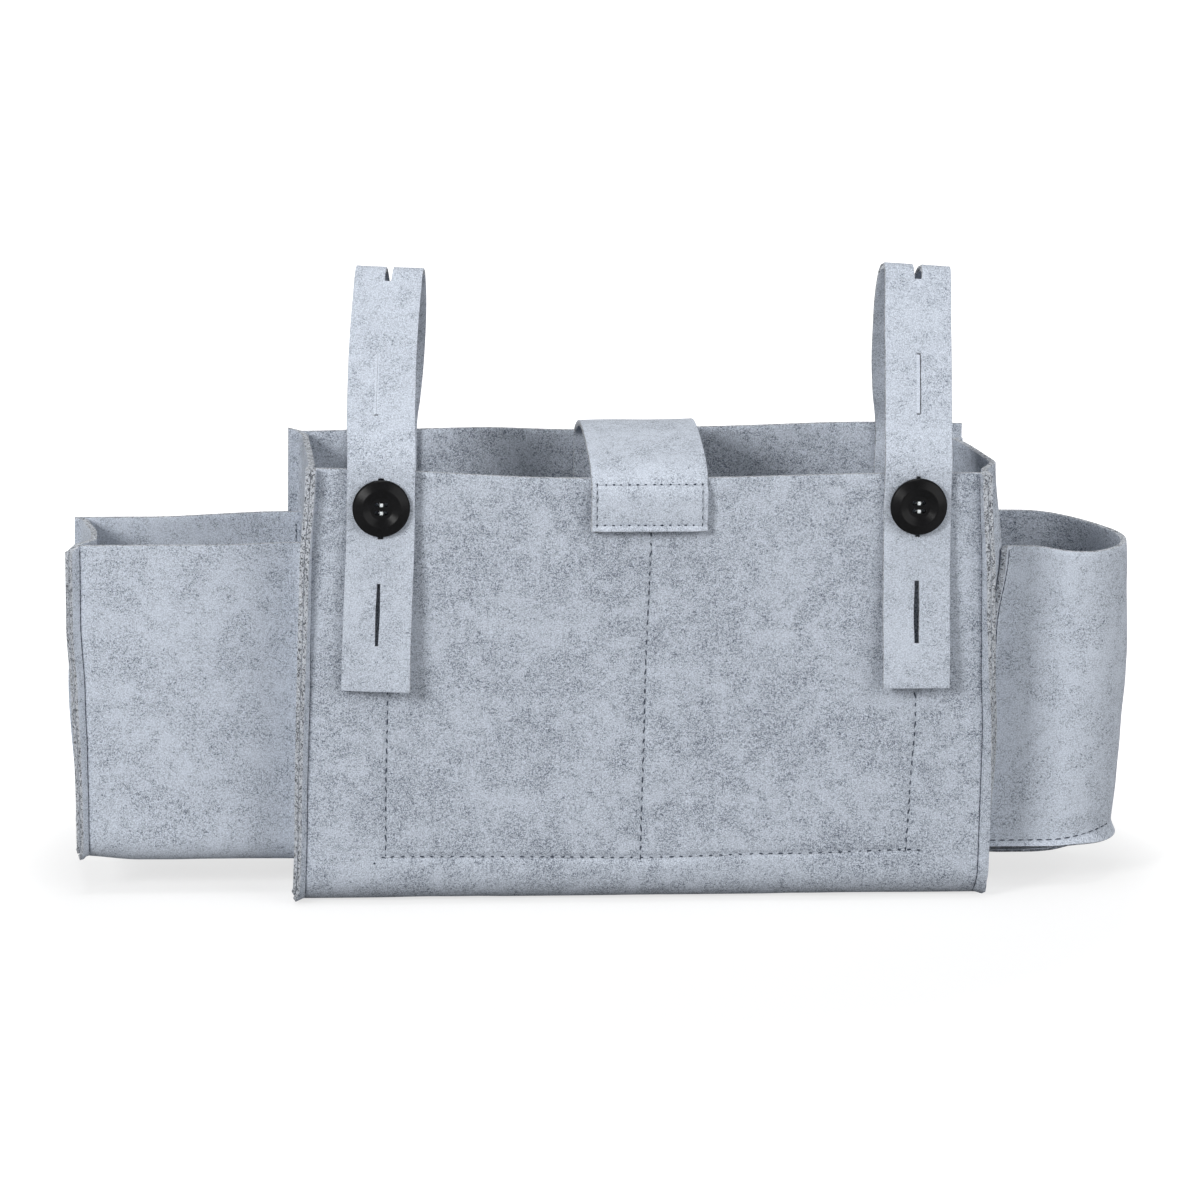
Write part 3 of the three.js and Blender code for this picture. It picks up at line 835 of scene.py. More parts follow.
def lay_gusset(path, side, crease_at, turn_at, bulge_at, middle):
    """An end wall: its allowance lies on the sheet's, and its inner face runs to the middle line."""
    low = min(point.y for point in path.points)
    half = middle - path.points[0].x

    def lay(p, v):
        base, way = path.around(v)
        normal = outward(way)
        angle = turn_at(side, normal, base.y)
        crease = crease_at(side, base.x, base.y)
        along = SEAM - p
        if along >= GUSSET_LEAD:
            depth = mixed(LAYER, SEAM_LAYER, smooth(GUSSET_LEAD, 3.0, along))
            depth -= 0.6 * ear(normal) * smooth(1.0, 4.0, along)
            along = mixed(GUSSET_LEAD, along, seam_width(side, normal, base.y))
            point = seam_point(crease, side, base, normal, angle, along, depth)
        else:
            root = seam_point(crease, side, base, normal, angle, GUSSET_LEAD, LAYER)
            share = unit((GUSSET_LEAD - along) / half)
            centre = Vector((middle, max(base.y, low + half)))
            y = mixed(root.y, centre.x, share)
            z = mixed(root.z, centre.y, share)
            wall = side * (crease_at(side, y, z) - FELT + bulge_at(side, y, z))
            steep = 9.0 - 7.0 * min(angle / math.radians(70.0), 1.0)
            x = mixed(wall, root.x, max(1.0 - share / 0.7, 0.0) ** steep)
            x += side * 0.5 * wavy(y, z, side, 40.0, 8.3) * smooth(0.0, 0.3, share)
            point = Vector((x, y, z))
        return point

    return lay


def body_end(side, name, node, nap):
    """An end wall, cut a little short at its back."""
    plain = lay_gusset(BODY, side, body_crease, body_turn, body_bulge, 0.0)

    def lay(p, v):
        point = plain(p, v)
        short = END_DROP[side] * unit((point.y + 25.0) / 70.0) * smooth(120.0, RIM, point.z)
        point.z += rim_lift(point.x, point.y, point.z) - short
        return point

    across = stations(0.0, SEAM - FRONT - GUSSET_LEAD, 3.2, *BEND_STEPS)
    along = stations(0.0, BODY.length, 3.2)
    piece = felt_piece(
        name, across, along, lay, nap=nap, over=side < 0, welded=True, press=lambda p, v: pressed(SEAM - p),
    )
    sewn(piece, "caddy", [node])


def lay_inner(u, v):
    """Behind the front panel, standing off it where the two mouths gape."""
    half = INNER_HALF - INNER_HEM
    stitched = INNER_LOW + INNER_HEM
    out = min(abs(u) / half, 1.0)
    up = max((v - stitched) / (INNER_TOP - stitched), 0.0)
    ease = INNER_EASE * math.sin(math.pi * out) ** 2 * math.sin(math.pi / 2 * up)
    return Vector((u, FRONT + LAYER + FELT + ease + 0.3 * wavy(u, v, 0, 30.0, 1.7), v))


def inner_pocket():
    """The double pocket behind the front panel."""
    across = stations(-INNER_HALF, INNER_HALF, 3.5)
    along = stations(INNER_LOW, INNER_TOP, 3.5)
    piece = felt_piece("felt_inner_pocket", across, along, lay_inner, nap=(900, 300), over=True)
    sewn(piece, "caddy", ["inner_pocket"])


# Box pocket at the left end


def pocket_crease(side, y, z):
    """The outer end leans in towards the foot, most at the front."""
    ahead = along_table(POCKET_CREASE, z)
    return mixed(ahead, END + POCKET_REACH, 0.7 * smooth(POCKET_FRONT, POCKET_BACK, y))


def pocket_turn(side, normal, z):
    """How far the front flange has turned forward."""
    return math.radians(POCKET_TURN) * smooth(0.3, 1.0, -normal.x)


def pocket_bulge(side, y, z):
    """The outer end wall bows inwards at its mouth."""
    back_share = (y - POCKET_FRONT) / (POCKET_BACK - POCKET_FRONT)
    inward = smooth(0.0, 0.28, back_share) * (1 - smooth(0.45, 1.0, back_share))
    return -POCKET_BOW * inward * smooth(60.0, POCKET_TOP, z)


def pocket_lift(x, y, z):
    """The pocket's mouth, a little higher at the back, and its foot, which sags between the ends."""
    ahead = 0.2 + 1.2 * hump(x, -170.0, 40.0) - 2.6 * smooth(276.0, 281.5, -x)
    behind = 1.0 + 2.6 * smooth(-245.0, -170.0, x)
    sag = mixed(*POCKET_SAG, smooth(246.0, 276.0, -x)) * (1.0 - smooth(POCKET_LOW, POCKET_LOW + 35.0, z))
    return mixed(ahead, behind, smooth(POCKET_FRONT, POCKET_BACK, y)) * smooth(80.0, POCKET_TOP, z) - sag


def pocket_tuck(x, y, z):
    """How far the flange is drawn in at the mouth's rear corner."""
    corner = smooth(10.0, POCKET_BACK - 6.0, y) * smooth(90.0, POCKET_TOP - 6.0, z)
    return 0.33 * max(-x - 270.0, 0.0) * corner


def lay_pocket(u, v):
    """u runs from the sewn end outwards."""
    base, way = POCKET.around(v)
    normal = outward(way)
    beyond = u - POCKET_REACH
    crease = pocket_crease(-1, base.x, base.y)
    swell = waves(u, v, POCKET_WAVES)
    if beyond > -2.0:
        angle = pocket_turn(-1, normal, base.y)
        dip = seam_dip(normal, beyond)
        beyond *= seam_width(-1, normal, base.y) if beyond > 0 else 1.0
        point = seam_point(crease, -1, base, normal, angle, beyond, dip)
    elif u < 6.0:
        sewn_turn = math.radians(88.0) * smooth(-0.75, -0.45, -normal.x)
        short = 1.0 - 0.75 * smooth(0.2, 0.8, -normal.y)
        out, up, _ = turned((POCKET_SEWN - u) * short, sewn_turn, 2.0)
        point = Vector((-END - POCKET_SEWN + out, base.x + normal.x * up, base.y + normal.y * up))
    else:
        point = Vector((-END - u * (crease - END) / POCKET_REACH, base.x, base.y))
    inside = smooth(6.0, 25.0, u) * smooth(0.0, 25.0, POCKET_REACH - u)
    point.y += normal.x * swell * inside
    point.z += normal.y * swell * inside + pocket_lift(point.x, base.x, base.y)
    point.x += pocket_tuck(*point)
    return point


def left_pocket():
    """Front, bottom and back of the pocket in one sheet, and its end wall."""
    creases = [POCKET_REACH + step for step in CREASE_STEPS]
    across = stations(-SEAM + 3.0, POCKET_REACH + SEAM, 3.2, 0.0, 0.6, 2.0, 3.0, 4.0, 5.0, 6.0, *creases)
    along = stations(0.0, POCKET.length, 3.2)
    rear = POCKET.length - (POCKET_TOP - POCKET_LOW - POCKET_FOLD) - 4.0
    # The pocket's inner face wears the paler felt, painted light inside the pocket.
    piece = felt_piece(
        "felt_left_pocket", across, along, lay_pocket, nap=(1300, 700),
        cut_outs=[(-SEAM, 0.6, rear, POCKET.length)],
        looks=(SIDE_FELT_LOOK, CUT_LOOK, PAINTED_LIGHT_FELT_LOOK), lining=2,
        press=lambda u, v: pressed(u - POCKET_REACH),
    )
    sewn(piece, "caddy", ["left_pocket_wrap"])

    middle = (POCKET_FRONT + POCKET_BACK) / 2
    plain = lay_gusset(POCKET, -1, pocket_crease, pocket_turn, pocket_bulge, middle)

    def lay(p, v):
        point = plain(p, v)
        point.z += pocket_lift(point.x, point.y, point.z)
        point.x += pocket_tuck(*point)
        return point

    across = stations(0.0, SEAM + middle - POCKET_FRONT - GUSSET_LEAD, 3.2, *BEND_STEPS)
    end = felt_piece(
        "felt_left_pocket_end", across, along, lay, nap=(1700, 200), over=True, welded=True,
        looks=(SIDE_FELT_LOOK, CUT_LOOK), press=lambda p, v: pressed(SEAM - p),
    )
    sewn(end, "caddy", ["left_pocket_gusset"])


# Bottle pocket at the right end


def cup_plan():
    """Outer face of the curved wall, seen from above, from the front seam round to the back."""
    corner = arc((END + LAYER + 2.0, POCKET_FRONT - 2.0), 2.0, 180, 90, 5)
    points = [Vector((END + LAYER, POCKET_FRONT - SEAM))] + corner
    points += arc((CUP_TURN_X, CUP_MIDDLE), CUP_RADIUS, -90, 90, 36)
    return Path(points + [Vector((END + 0.6, POCKET_BACK))])


CUP = cup_plan()


def cup_shift(x, y, z):
    """The wall follows the bulge of the end wall that it is sewn to, and swells at its outer side."""
    out = unit((x - END - LAYER) / CUP_REACH)
    up = (z - CUP_FOOT) / (POCKET_TOP - CUP_FOOT)
    held = (1.0 - smooth(170.0, 215.0, x)) * (1.0 - smooth(CUP_MIDDLE, POCKET_BACK, y))
    belly = CUP_SPREAD + CUP_BELLY * math.sin(math.pi * unit(0.95 * up + 0.02))
    belly += 1.7 * smooth(0.3, 0.75, up) + 1.6 * smooth(0.75, 1.0, up)
    return out * belly + held * (body_bulge(1, max(y, -31.0), z) - 1.2 * smooth(90.0, 170.0, z))


def cup_rim(x, y):
    """The mouth dips between its seams."""
    ahead = -1.8 - 3.8 * smooth(178.0, 226.0, x)
    behind = 3.0 - 6.5 * smooth(196.0, 250.0, x)
    return mixed(ahead, behind, smooth(POCKET_FRONT, POCKET_BACK, y))


def cup_tilt(x):
    """The foot lies lower near the end wall and higher at the outer side."""
    return CUP_TILT * smooth(205.0, 245.0, x) - CUP_DROP


def lay_cup(u, v):
    """u runs round the wall, v up from its foot; below the foot the sheet turns out on the floor."""
    plan, way = CUP.around(u, 1.5)
    normal = outward(way)
    if v < 4.0:
        angle = math.radians(mixed(56.0, 26.0, smooth(195.0, 240.0, plan.x)))
        angle *= smooth(2.0, 14.0, u) * smooth(3.0, 16.0, CUP.length - u)
        deeper = mixed(1.0, 2.6, smooth(212.0, 240.0, plan.x)) if v < 0.0 else 1.0
        down, up, _ = turned(-v * deeper, angle, 1.2)
        z = CUP_FOOT - down
    else:
        up = 0.0
        z = CUP_FOOT + v
    z += cup_tilt(plan.x) * (1.0 - smooth(0.0, 60.0, v))
    up += waves(u, v, CUP_WAVES) * smooth(3.0, 25.0, v) * smooth(10.0, 30.0, u)
    x = plan.x + cup_shift(plan.x, plan.y, z) + normal.x * up
    y = plan.y + normal.y * up
    return Vector((x, y, z + cup_rim(plan.x, plan.y) * smooth(90.0, POCKET_TOP, z)))


def cup_wall():
    """The curved wall. Its cut edge along the front of its foot is painted dark as shade, its outer face
    wears the paler felt as painted light, and its inner face wears the plain felt as painted shade.
    """
    across = stations(0.0, CUP.length, 3.0, 4.0, 5.5, 7.0, 8.5)
    along = stations(-CUP_FLANGE, POCKET_TOP - CUP_FOOT, 3.2, -1.2, -0.6, 0.0, 0.6, 1.2, 2.4, 4.0)
    # The outer face wears the paler felt, painted light, and the inner face wears the plain, darker felt,
    # painted shade inside the pocket.
    piece = felt_piece(
        "felt_cup_wall", across, along, lay_cup, nap=(2100, 500),
        looks=(PAINTED_LIGHT_FELT_LOOK, CUT_LOOK, SHADED_CUT_LOOK, FELT_LOOK), lining=3,
        press=lambda u, v: mixed(1.0, 0.5, smooth(-1.0, 2.5, -v)),
    )
    # Cut edge faces low along the front of the foot wear the darker cut finish, painted shade under the
    # turned-out foot.
    for face in piece.data.polygons:
        if face.material_index == 1 and face.center.z < 26.0 * MM and face.center.x < 220.0 * MM:
            face.material_index = 2
    sewn(piece, "caddy", ["cup_pocket_wall"])


def cup_floor_plan():
    """Edge of the floor: under the wall's foot, and back along the end wall."""
    points = []
    for u in stations(10.0, CUP.length, 2.6):
        plan, way = CUP.around(u, 1.5)
        reach = mixed(1.5, 0.3, smooth(205.0, 230.0, plan.x))
        reach *= smooth(10.0, 20.0, u) * smooth(3.0, 16.0, CUP.length - u)
        points.append(plan + outward(way) * reach)
    near = END + 0.4
    return Path(points + [Vector((near, points[-1].y)), Vector((near, points[0].y)), points[0]])


CUP_FLOOR = cup_floor_plan()


def lay_cup_floor(u, out):
    """From the middle of the floor out to its edge, which is sewn under the wall's turned-out foot."""
    edge, _ = CUP_FLOOR.at(u)
    share = out / CUP_FLOOR_REACH
    spot = Vector((END + 30.0, CUP_MIDDLE)).lerp(edge, share)
    droop = mixed(2.6, 0.9, smooth(196.0, 224.0, edge.x)) * smooth(END + 2.0, END + 12.0, edge.x)
    droop *= smooth(0.78, 0.92, share)
    rise = (cup_tilt(spot.x) + CUP_DROP) * share
    return Vector((spot.x, spot.y, POCKET_LOW + FELT - 0.2 - droop + rise))


def cup_floor():
    """The pocket's floor."""
    across = stations(0.0, CUP_FLOOR.length, 2.6, *CUP_FLOOR.marks[-4:])
    along = stations(0.0, CUP_FLOOR_REACH, 2.0, 33.0, 34.5, 36.0, 37.0, 38.0, 39.0)
    # Its cut edge wears the darker cut finish, painted shade under the wall's foot.
    piece = felt_piece(
        "felt_cup_floor", across, along, lay_cup_floor, nap=(2500, 100), welded=True, over=True,
        looks=(FELT_LOOK, SHADED_CUT_LOOK), press=lambda u, out: mixed(1.0, 0.43, smooth(31.0, 37.0, out)),
    )
    sewn(piece, "caddy", ["cup_pocket_base"])


# Straps


def strap_middle():
    """Middle line of a strap as (y, z), from its loose end over the fold to its sewn end."""
    def leg(rim_y, z):
        edge = math.copysign(FOLD_HALF, rim_y)
        return mixed(rim_y, edge, (z - RIM) / (FOLD_Z - FOLD_HEIGHT - RIM)), z

    bend = RIM - 0.3
    loose_end = (STRAP_FRONT - STRAP_KICK, STRAP_LOW)
    points = bow(loose_end, (STRAP_FRONT - 0.5, 168.0), (STRAP_FRONT, BUTTON_Z - 8.0))
    points += bow((STRAP_FRONT, bend), (STRAP_FRONT, bend + RIM_BEND / 2), leg(STRAP_FRONT, bend + RIM_BEND))
    points += bow((-FOLD_HALF, FOLD_Z - FOLD_HEIGHT), (-FOLD_HALF / 2, FOLD_Z), (0.0, FOLD_Z))
    points += bow((0.0, FOLD_Z), (FOLD_HALF / 2, FOLD_Z), (FOLD_HALF, FOLD_Z - FOLD_HEIGHT))
    points += bow(leg(STRAP_BACK, RIM + RIM_BEND), (STRAP_BACK, RIM + RIM_BEND / 2), (STRAP_BACK, RIM))
    return Path(points + [Vector((STRAP_BACK, STRAP_SEWN))])


STRAP = strap_middle()


def strap_button_at():
    """Distance of the button along the strap."""
    low, high = 0.0, STRAP.length / 3
    while high - low > 0.01:
        half = (low + high) / 2
        low, high = (half, high) if STRAP.at(half)[0].y < BUTTON_Z else (low, half)
    return low


def strap_twist(u, y, z):
    """How far a twisted front leg lies off its middle line: its right edge forward, its left edge back."""
    right = u / STRAP_WIDTH + 0.5
    loose = mixed(2.6, 1.3, smooth(BUTTON_Z - 45.0, BUTTON_Z - 8.0, z))
    forward = right * loose * (1.0 - smooth(RIM - 5.0, RIM + 25.0, z))
    return 0.75 * (1.0 - right) * max(STRAP_FRONT - y, 0.0) - forward


def strap(hand, nap, seed):
    """A hanging strap with its slits."""
    place = STRAPS[hand]
    at_button = strap_button_at()
    slits = [(at_button + middle, length / 2) for middle, length in SLITS]
    cuts = [(*sides, middle - half, middle + half) for sides, (middle, half) in zip(place["slits"], slits)]
    (tail_slit, tail_half), (leg_slit, leg_half) = slits[:2]
    for end in place["nicks"]:
        nick = leg_slit + end * leg_half
        cuts.append((*place["lip"], nick - NICK, nick + NICK))

    def lay(u, v):
        point, way = STRAP.around(v, 1.0)
        to_fold = unit((point.x - STRAP_FRONT) / -STRAP_FRONT)
        to_back = unit(point.x / STRAP_BACK)
        x = place["x"] + place["fold"] * to_fold ** place["ease"] + (place["back"] - place["fold"]) * to_back
        x += place["bow"] * math.sin(math.pi * to_back ** 0.7)
        x += place["lean"] * smooth(0.0, BUTTON_Z - STRAP_LOW, BUTTON_Z - point.y) * (point.x < 0.0)
        free = smooth(4.0, 25.0, abs(point.x - STRAP_BACK) + max(point.y - RIM, 0.0))
        swell = (0.7 * wavy(u, v, seed, 34.0, seed) + 0.25 * wavy(u, v, seed, 12.0, seed)) * free
        gape = 0.3 * hump(v, tail_slit, tail_half) * hump(u, 0.0, 7.0)
        gape += smooth(FOLD_Z - 13.0, FOLD_Z, point.y) * hump(u, 0.0, 9.0)
        sideways = 0.35 * wavy(0.0, v, 0.0, 26.0, seed + 2.0)
        point = point + outward(way) * (swell * 0.8)
        if place["twisted"] and point.x < 0.0:
            point.x += strap_twist(u, point.x, point.y)
        lift, slant = place["tip"]
        z = point.y + (lift + slant * u) * smooth(FOLD_Z - 50.0, FOLD_Z, point.y)
        return Vector((x + u + math.copysign(gape, u) * (abs(u) > 0.2) + sideways, point.x, z))

    sides = {value for cut in cuts for value in cut[:2]}
    across = stations(-STRAP_WIDTH / 2, STRAP_WIDTH / 2, 2.6, *sides, 0.0)
    ends = [value for cut in cuts for value in cut[2:]]
    along = stations(0.0, STRAP.length, 2.6, *ends)
    piece = felt_piece(
        f"felt_strap_{hand}", across, along, lay, cut_outs=cuts, nap=nap, offset=0.0, over=True,
        looks=(PALE_FELT_LOOK, CUT_LOOK, LIP_HIGHLIGHT_LOOK),
    )
    # Faces of the strip beside the front leg's slit wear the paler lip felt, a painted highlight.
    cloth = piece.data.attributes["cloth"].data
    low, high = (side + nap[0] for side in place["lip"])
    for face in piece.data.polygons:
        u, v, _ = sum((cloth[i].vector for i in face.vertices), Vector()) / len(face.vertices)
        if face.material_index == 0 and low < u < high and abs(v - nap[1] - leg_slit) < leg_half:
            face.material_index = 2
    sewn(
        piece, None, [f"strap_{hand}_rear", f"strap_{hand}_front"],
    )
    x = (place["x"] + place["fold"]) * MM
    end = (x, -FOLD_HALF * MM, FOLD_Z * MM)
    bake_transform(piece)
    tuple(end)


# Closing tab


def tab_middle():
    """Middle line of the tab as (y, z), from its sewn end over the mouth to its free end."""
    crest = (12.0, 229.4)
    ahead = (-40.0, 219.8)
    points = [Vector((STRAP_BACK, TAB_ROOT))]
    points += bow((STRAP_BACK, 216.0), (STRAP_BACK, 221.0), (39.0, 223.0))
    points += bow((39.0, 223.0), (26.0, 229.0), crest)
    points += bow(crest, (-8.0, 229.8), ahead)
    points += bow(ahead, (TAB_FRONT, 215.0), (TAB_FRONT, 202.0))
    return Path(points + [Vector((TAB_FRONT, TAB_LOW))])


TAB = tab_middle()


def tab_groove(u, v):
    """How deep the stitching round the hook patch pulls in the tab."""
    up = TAB_LOW + TAB.length - v
    if not TAB_ROW_LOW - 2 < up < TAB_ROW_TOP + 2 or abs(u) > TAB_ROWS_X + 2:
        return 0.0
    rows = [hump(abs(u), TAB_ROWS_X, 2.0), hump(up, TAB_ROW_LOW, 2.0), hump(up, TAB_ROW_TOP, 2.0)]
    return 0.5 * max(rows)


def lay_tab(u, v):
    """u runs across the tab, v from its sewn end to its free end."""
    point, way = TAB.around(v, 1.5)
    free = smooth(TAB_ROOT, TAB_TURN, point.y) if point.x > 40 else 1.0
    swell = 0.5 * wavy(u, v, 0.0, 30.0, 7.7) * free - tab_groove(u, v)
    swell += 0.9 * smooth(TAB_LOW - TAB_ROW_LOW, 0.0, v - TAB.length)
    point = point + outward(way) * swell
    point.x += 1.5 * smooth(24.5, TAB_WIDTH / 2, u) * smooth(40.0, 50.0, -point.x)
    tilt = 0.9 * u / TAB_WIDTH * smooth(214.0, 228.0, point.y)
    return Vector((u, point.x, point.y + tilt))


def closing_tab():
    """The tab over the mouth."""
    rows = [side * (TAB_ROWS_X + step) for side in (-1, 1) for step in TAB_ROW_STEPS]
    across = stations(-TAB_WIDTH / 2, TAB_WIDTH / 2, 2.8, *rows)
    end = TAB.length + TAB_LOW
    levels = [end - row + step for row in (TAB_ROW_LOW, TAB_ROW_TOP) for step in TAB_ROW_STEPS]
    along = stations(0.0, TAB.length, 2.6, *levels)
    # The outer face wears the pale felt and the underside wears the plain, darker felt, painted shade under
    # the tab.
    piece = felt_piece(
        "felt_tab", across, along, lay_tab, nap=(3300, 900), offset=0.0,
        looks=(FELT_LOOK, CUT_LOOK, PALE_FELT_LOOK), lining=2,
    )
    sewn(piece, None, ["tab_root", "tab_flap"])
    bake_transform(piece)


def patch(name, node, body, y, look, nap):
    """A tape patch whose worked face is at y."""
    def lay(u, v):
        return Vector((u, y, v))

    across = stations(-PATCH_WIDTH / 2, PATCH_WIDTH / 2, 2.6)
    along = stations(PATCH_LOW, PATCH_LOW + PATCH_HEIGHT, 2.6)
    piece = felt_piece(
        name, across, along, lay, nap=nap, thickness=PATCH_THICK, edge=0.3, looks=(look, look),
        over=body == "tab",
    )
    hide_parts(node)
    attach(piece, body)


# Buttons


def button(hand):
    """A turned button: a sloping ring round a sloping dish with four holes."""
    x = STRAPS[hand]["x"]
    fresh()
    depth = BUTTON_BACK - BUTTON_FACE
    bpy.ops.mesh.primitive_cylinder_add(
        vertices=72, radius=BUTTON_RADIUS * MM, depth=depth * MM, rotation=(math.pi / 2, 0, 0),
        location=(x * MM, BUTTON_MIDDLE * MM, BUTTON_Z * MM),
    )
    piece = bpy.context.object
    piece.name = f"button_turned_{hand}"
    bpy.ops.object.transform_apply(location=True, rotation=True, scale=True)
    pick_faces(piece, lambda face: face.normal.y < -0.9)
    for narrower in BUTTON_INSETS:
        bpy.ops.mesh.inset(thickness=narrower * MM, depth=0.0)
    bpy.ops.object.mode_set(mode="OBJECT")
    for vertex in piece.data.vertices:
        if vertex.co.y < (BUTTON_FACE + 0.1) * MM:
            away = math.hypot(vertex.co.x / MM - x, vertex.co.z / MM - BUTTON_Z)
            vertex.co.y += along_table(BUTTON_FORM, away, eased=False) * MM
    sharp = math.radians(9)
    finish_with(piece, "BEVEL", width=BUTTON_BEVEL * MM, segments=3, limit_method="ANGLE", angle_limit=sharp)
    cutter = button_holes(x)
    finish_with(piece, "BOOLEAN", object=cutter, operation="DIFFERENCE", solver="EXACT")
    bpy.data.objects.remove(cutter)
    wear(piece, BUTTON_LOOK)
    smoothed(piece, 35)
    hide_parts(f"button_{hand}")
    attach(piece, "caddy")


def button_holes(x):
    """A cutter for the four holes."""
    rods = []
    for side_x in (-1, 1):
        for side_z in (-1, 1):
            fresh()
            bpy.ops.mesh.primitive_cylinder_add(
                vertices=24, radius=HOLE_RADIUS * MM, depth=12 * MM, rotation=(math.pi / 2, 0, 0),
                location=((x + side_x * HOLE_X) * MM, BUTTON_MIDDLE * MM, (BUTTON_Z + side_z * HOLE_Z) * MM),
            )
            rods.append(bpy.context.object)
    return joined("holes", rods)


def joined(name, objects):
    """Several objects as one."""
    fresh()
    for item in objects:
        item.select_set(True)
    bpy.context.view_layer.objects.active = objects[0]
    if len(objects) > 1:
        bpy.ops.object.join()
    whole = bpy.context.object
    whole.name = name
    whole.data.name = name
    bpy.ops.object.transform_apply(location=True, rotation=True, scale=True)
    return whole


def cut_rod(sides, radius, cuts):
    """A rod of length 1 along X, cut across so that it can bend."""
    fresh()
    bpy.ops.mesh.primitive_cylinder_add(
        vertices=sides, radius=radius, depth=1.0, rotation=(0, math.pi / 2, 0), end_fill_type="NGON",
    )
    rod = bpy.context.object
    bpy.ops.object.transform_apply(rotation=True)
    bpy.ops.object.mode_set(mode="EDIT")
    for cut in cuts:
        bpy.ops.mesh.select_all(action="SELECT")
        bpy.ops.mesh.bisect(plane_co=(cut, 0, 0), plane_no=(1, 0, 0))
    bpy.ops.object.mode_set(mode="OBJECT")
    return rod


def button_thread(hand):
    """Two bars of thread, each of three strands that dive into the holes."""
    x = STRAPS[hand]["x"]
    dish = BUTTON_FACE + DISH_DEPTH
    rods = []
    for side_z in (-1, 1):
        for lane in (-1, 0, 1):
            rod = cut_rod(10, STRAND_RADIUS * MM, STRAND_CUTS)
            for vertex in rod.data.vertices:
                share = vertex.co.x * 2.0
                dive = max(abs(share) - 0.22, 0.0) / 0.78
                rise = -0.9 * (1 - share * share) - 0.25 * (lane == 0) + 15.0 * dive * dive
                z = BUTTON_Z + side_z * HOLE_Z + lane * (0.55 - 0.2 * dive)
                middle = Vector((x + HOLE_X * share, dish + rise, z))
                vertex.co = middle * MM + Vector((0.0, vertex.co.y, vertex.co.z))
            rods.append(rod)
    piece = joined(f"button_strands_{hand}", rods)
    wear(piece, BUTTON_THREAD_LOOK)
    smoothed(piece, 60)
    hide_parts(f"button_{hand}_thread")
    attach(piece, "caddy")


# Stitching


def one_stitch():
    """One short stitch along X, its ends diving into the felt."""
    stitch = cut_rod(8, 0.5, STITCH_CUTS)
    for vertex in stitch.data.vertices:
        vertex.co.z -= STITCH_DIVE * abs(vertex.co.x * 2.0) ** 3
    wear(stitch, THREAD_LOOK, PIT_LOOK)
    return stitch


def one_pit():
    """A dark lens that lies in the felt: a needle hole, and, laid end to end, the painted shade of a crease.
    """
    fresh()
    bpy.ops.mesh.primitive_uv_sphere_add(segments=10, ring_count=5, radius=0.5)
    pit = bpy.context.object
    wear(pit, THREAD_LOOK, PIT_LOOK)
    for face in pit.data.polygons:
        face.material_index = 1
    return pit


STITCH_SHAPE = one_stitch()
PIT_SHAPE = one_pit()


def placed(shape, at, along, normal, size):
    """A copy of a small shape at a point of the felt, turned along the seam."""
    along = along.normalized()
    normal = (normal - along * normal.dot(along)).normalized()
    across = normal.cross(along)
    turn = Matrix((along, across, normal)).transposed().to_4x4()
    copy = shape.copy()
    copy.data = shape.data.copy()
    bpy.context.collection.objects.link(copy)
    scale = Matrix.Diagonal((*[part * MM for part in size], 1.0))
    copy.data.transform(Matrix.Translation(at * MM) @ turn @ scale)
    return copy


def stitch_row(points, normal, pitch, dash=(2.0, 0.8), thread=0.7):
    """Stitches along a line of points on the felt: pale thread between dark sunk dashes."""
    line = Path(points)
    count = max(1, round(line.length / pitch))
    step = line.length / count

    def at(distance):
        return line.at(min(max(distance, 0.0), line.length))[0]

    def shake(i, seed):
        return noise.noise(Vector((1.7 * i, line.length, seed)))

    made = []
    for i in range(count):
        along = at((i + 0.9) * step) - at((i + 0.1) * step)
        spot = at((i + 0.5) * step) + normal.cross(along).normalized() * 0.3 * shake(i, 0.3)
        spot += normal * STITCH_LIFT
        made.append(placed(STITCH_SHAPE, spot, along, normal, (step * 0.8, thread, 0.5)))
    for i in range(count + 1):
        spot = at((i + 0.15 * shake(i, 3.1)) * step) + normal * STITCH_LIFT
        along = at(i * step + 0.6) - at(i * step - 0.6)
        along += normal.cross(along) * 0.5 * shake(i, 5.9)
        size = (dash[0] * (1.0 + 0.7 * shake(i, 0.7)), dash[1] * (1.0 + 0.5 * shake(i, 9.2)), 0.6)
        made.append(placed(PIT_SHAPE, spot, along, normal, size))
    return made


def stitching(name, rows, body):
    """Rows of stitches as one piece that rides on a body."""
    piece = joined(name, [item for row in rows for item in row])
    smoothed(piece, 60)
    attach(piece, body)


def on_front(x, z):
    """A point of the front panel's face, from its height."""
    return lay_body(x, RIM - z)


def front_stitching():
    """The U round the inner pocket, its middle row, and a knot near each lower corner."""
    ahead = Vector((0, -1, 0))
    rows = []
    for row in (ROW_LEFT, ROW_MIDDLE, ROW_RIGHT):
        low = along_table(ROW_LOW, row[0][1])
        points = [on_front(along_table(row, z), z) for z in evenly(low, INNER_TOP, 60)]
        rows.append(stitch_row(points, ahead, STITCH, dash=(3.2, 0.7), thread=0.5))
    places = evenly(ROW_LOW[0][0], ROW_LOW[-1][0], 90)
    points = [on_front(x, along_table(ROW_LOW, x)) for x in places]
    rows.append(stitch_row(points, ahead, STITCH, dash=(2.2, 0.75)))
    for x, z in KNOTS:
        spot = on_front(x, z) + ahead * 0.1
        rows.append([placed(PIT_SHAPE, spot, Vector((1, 0, 0)), ahead, KNOT_SIZE)])
    stitching("stitches_front", rows, "caddy")


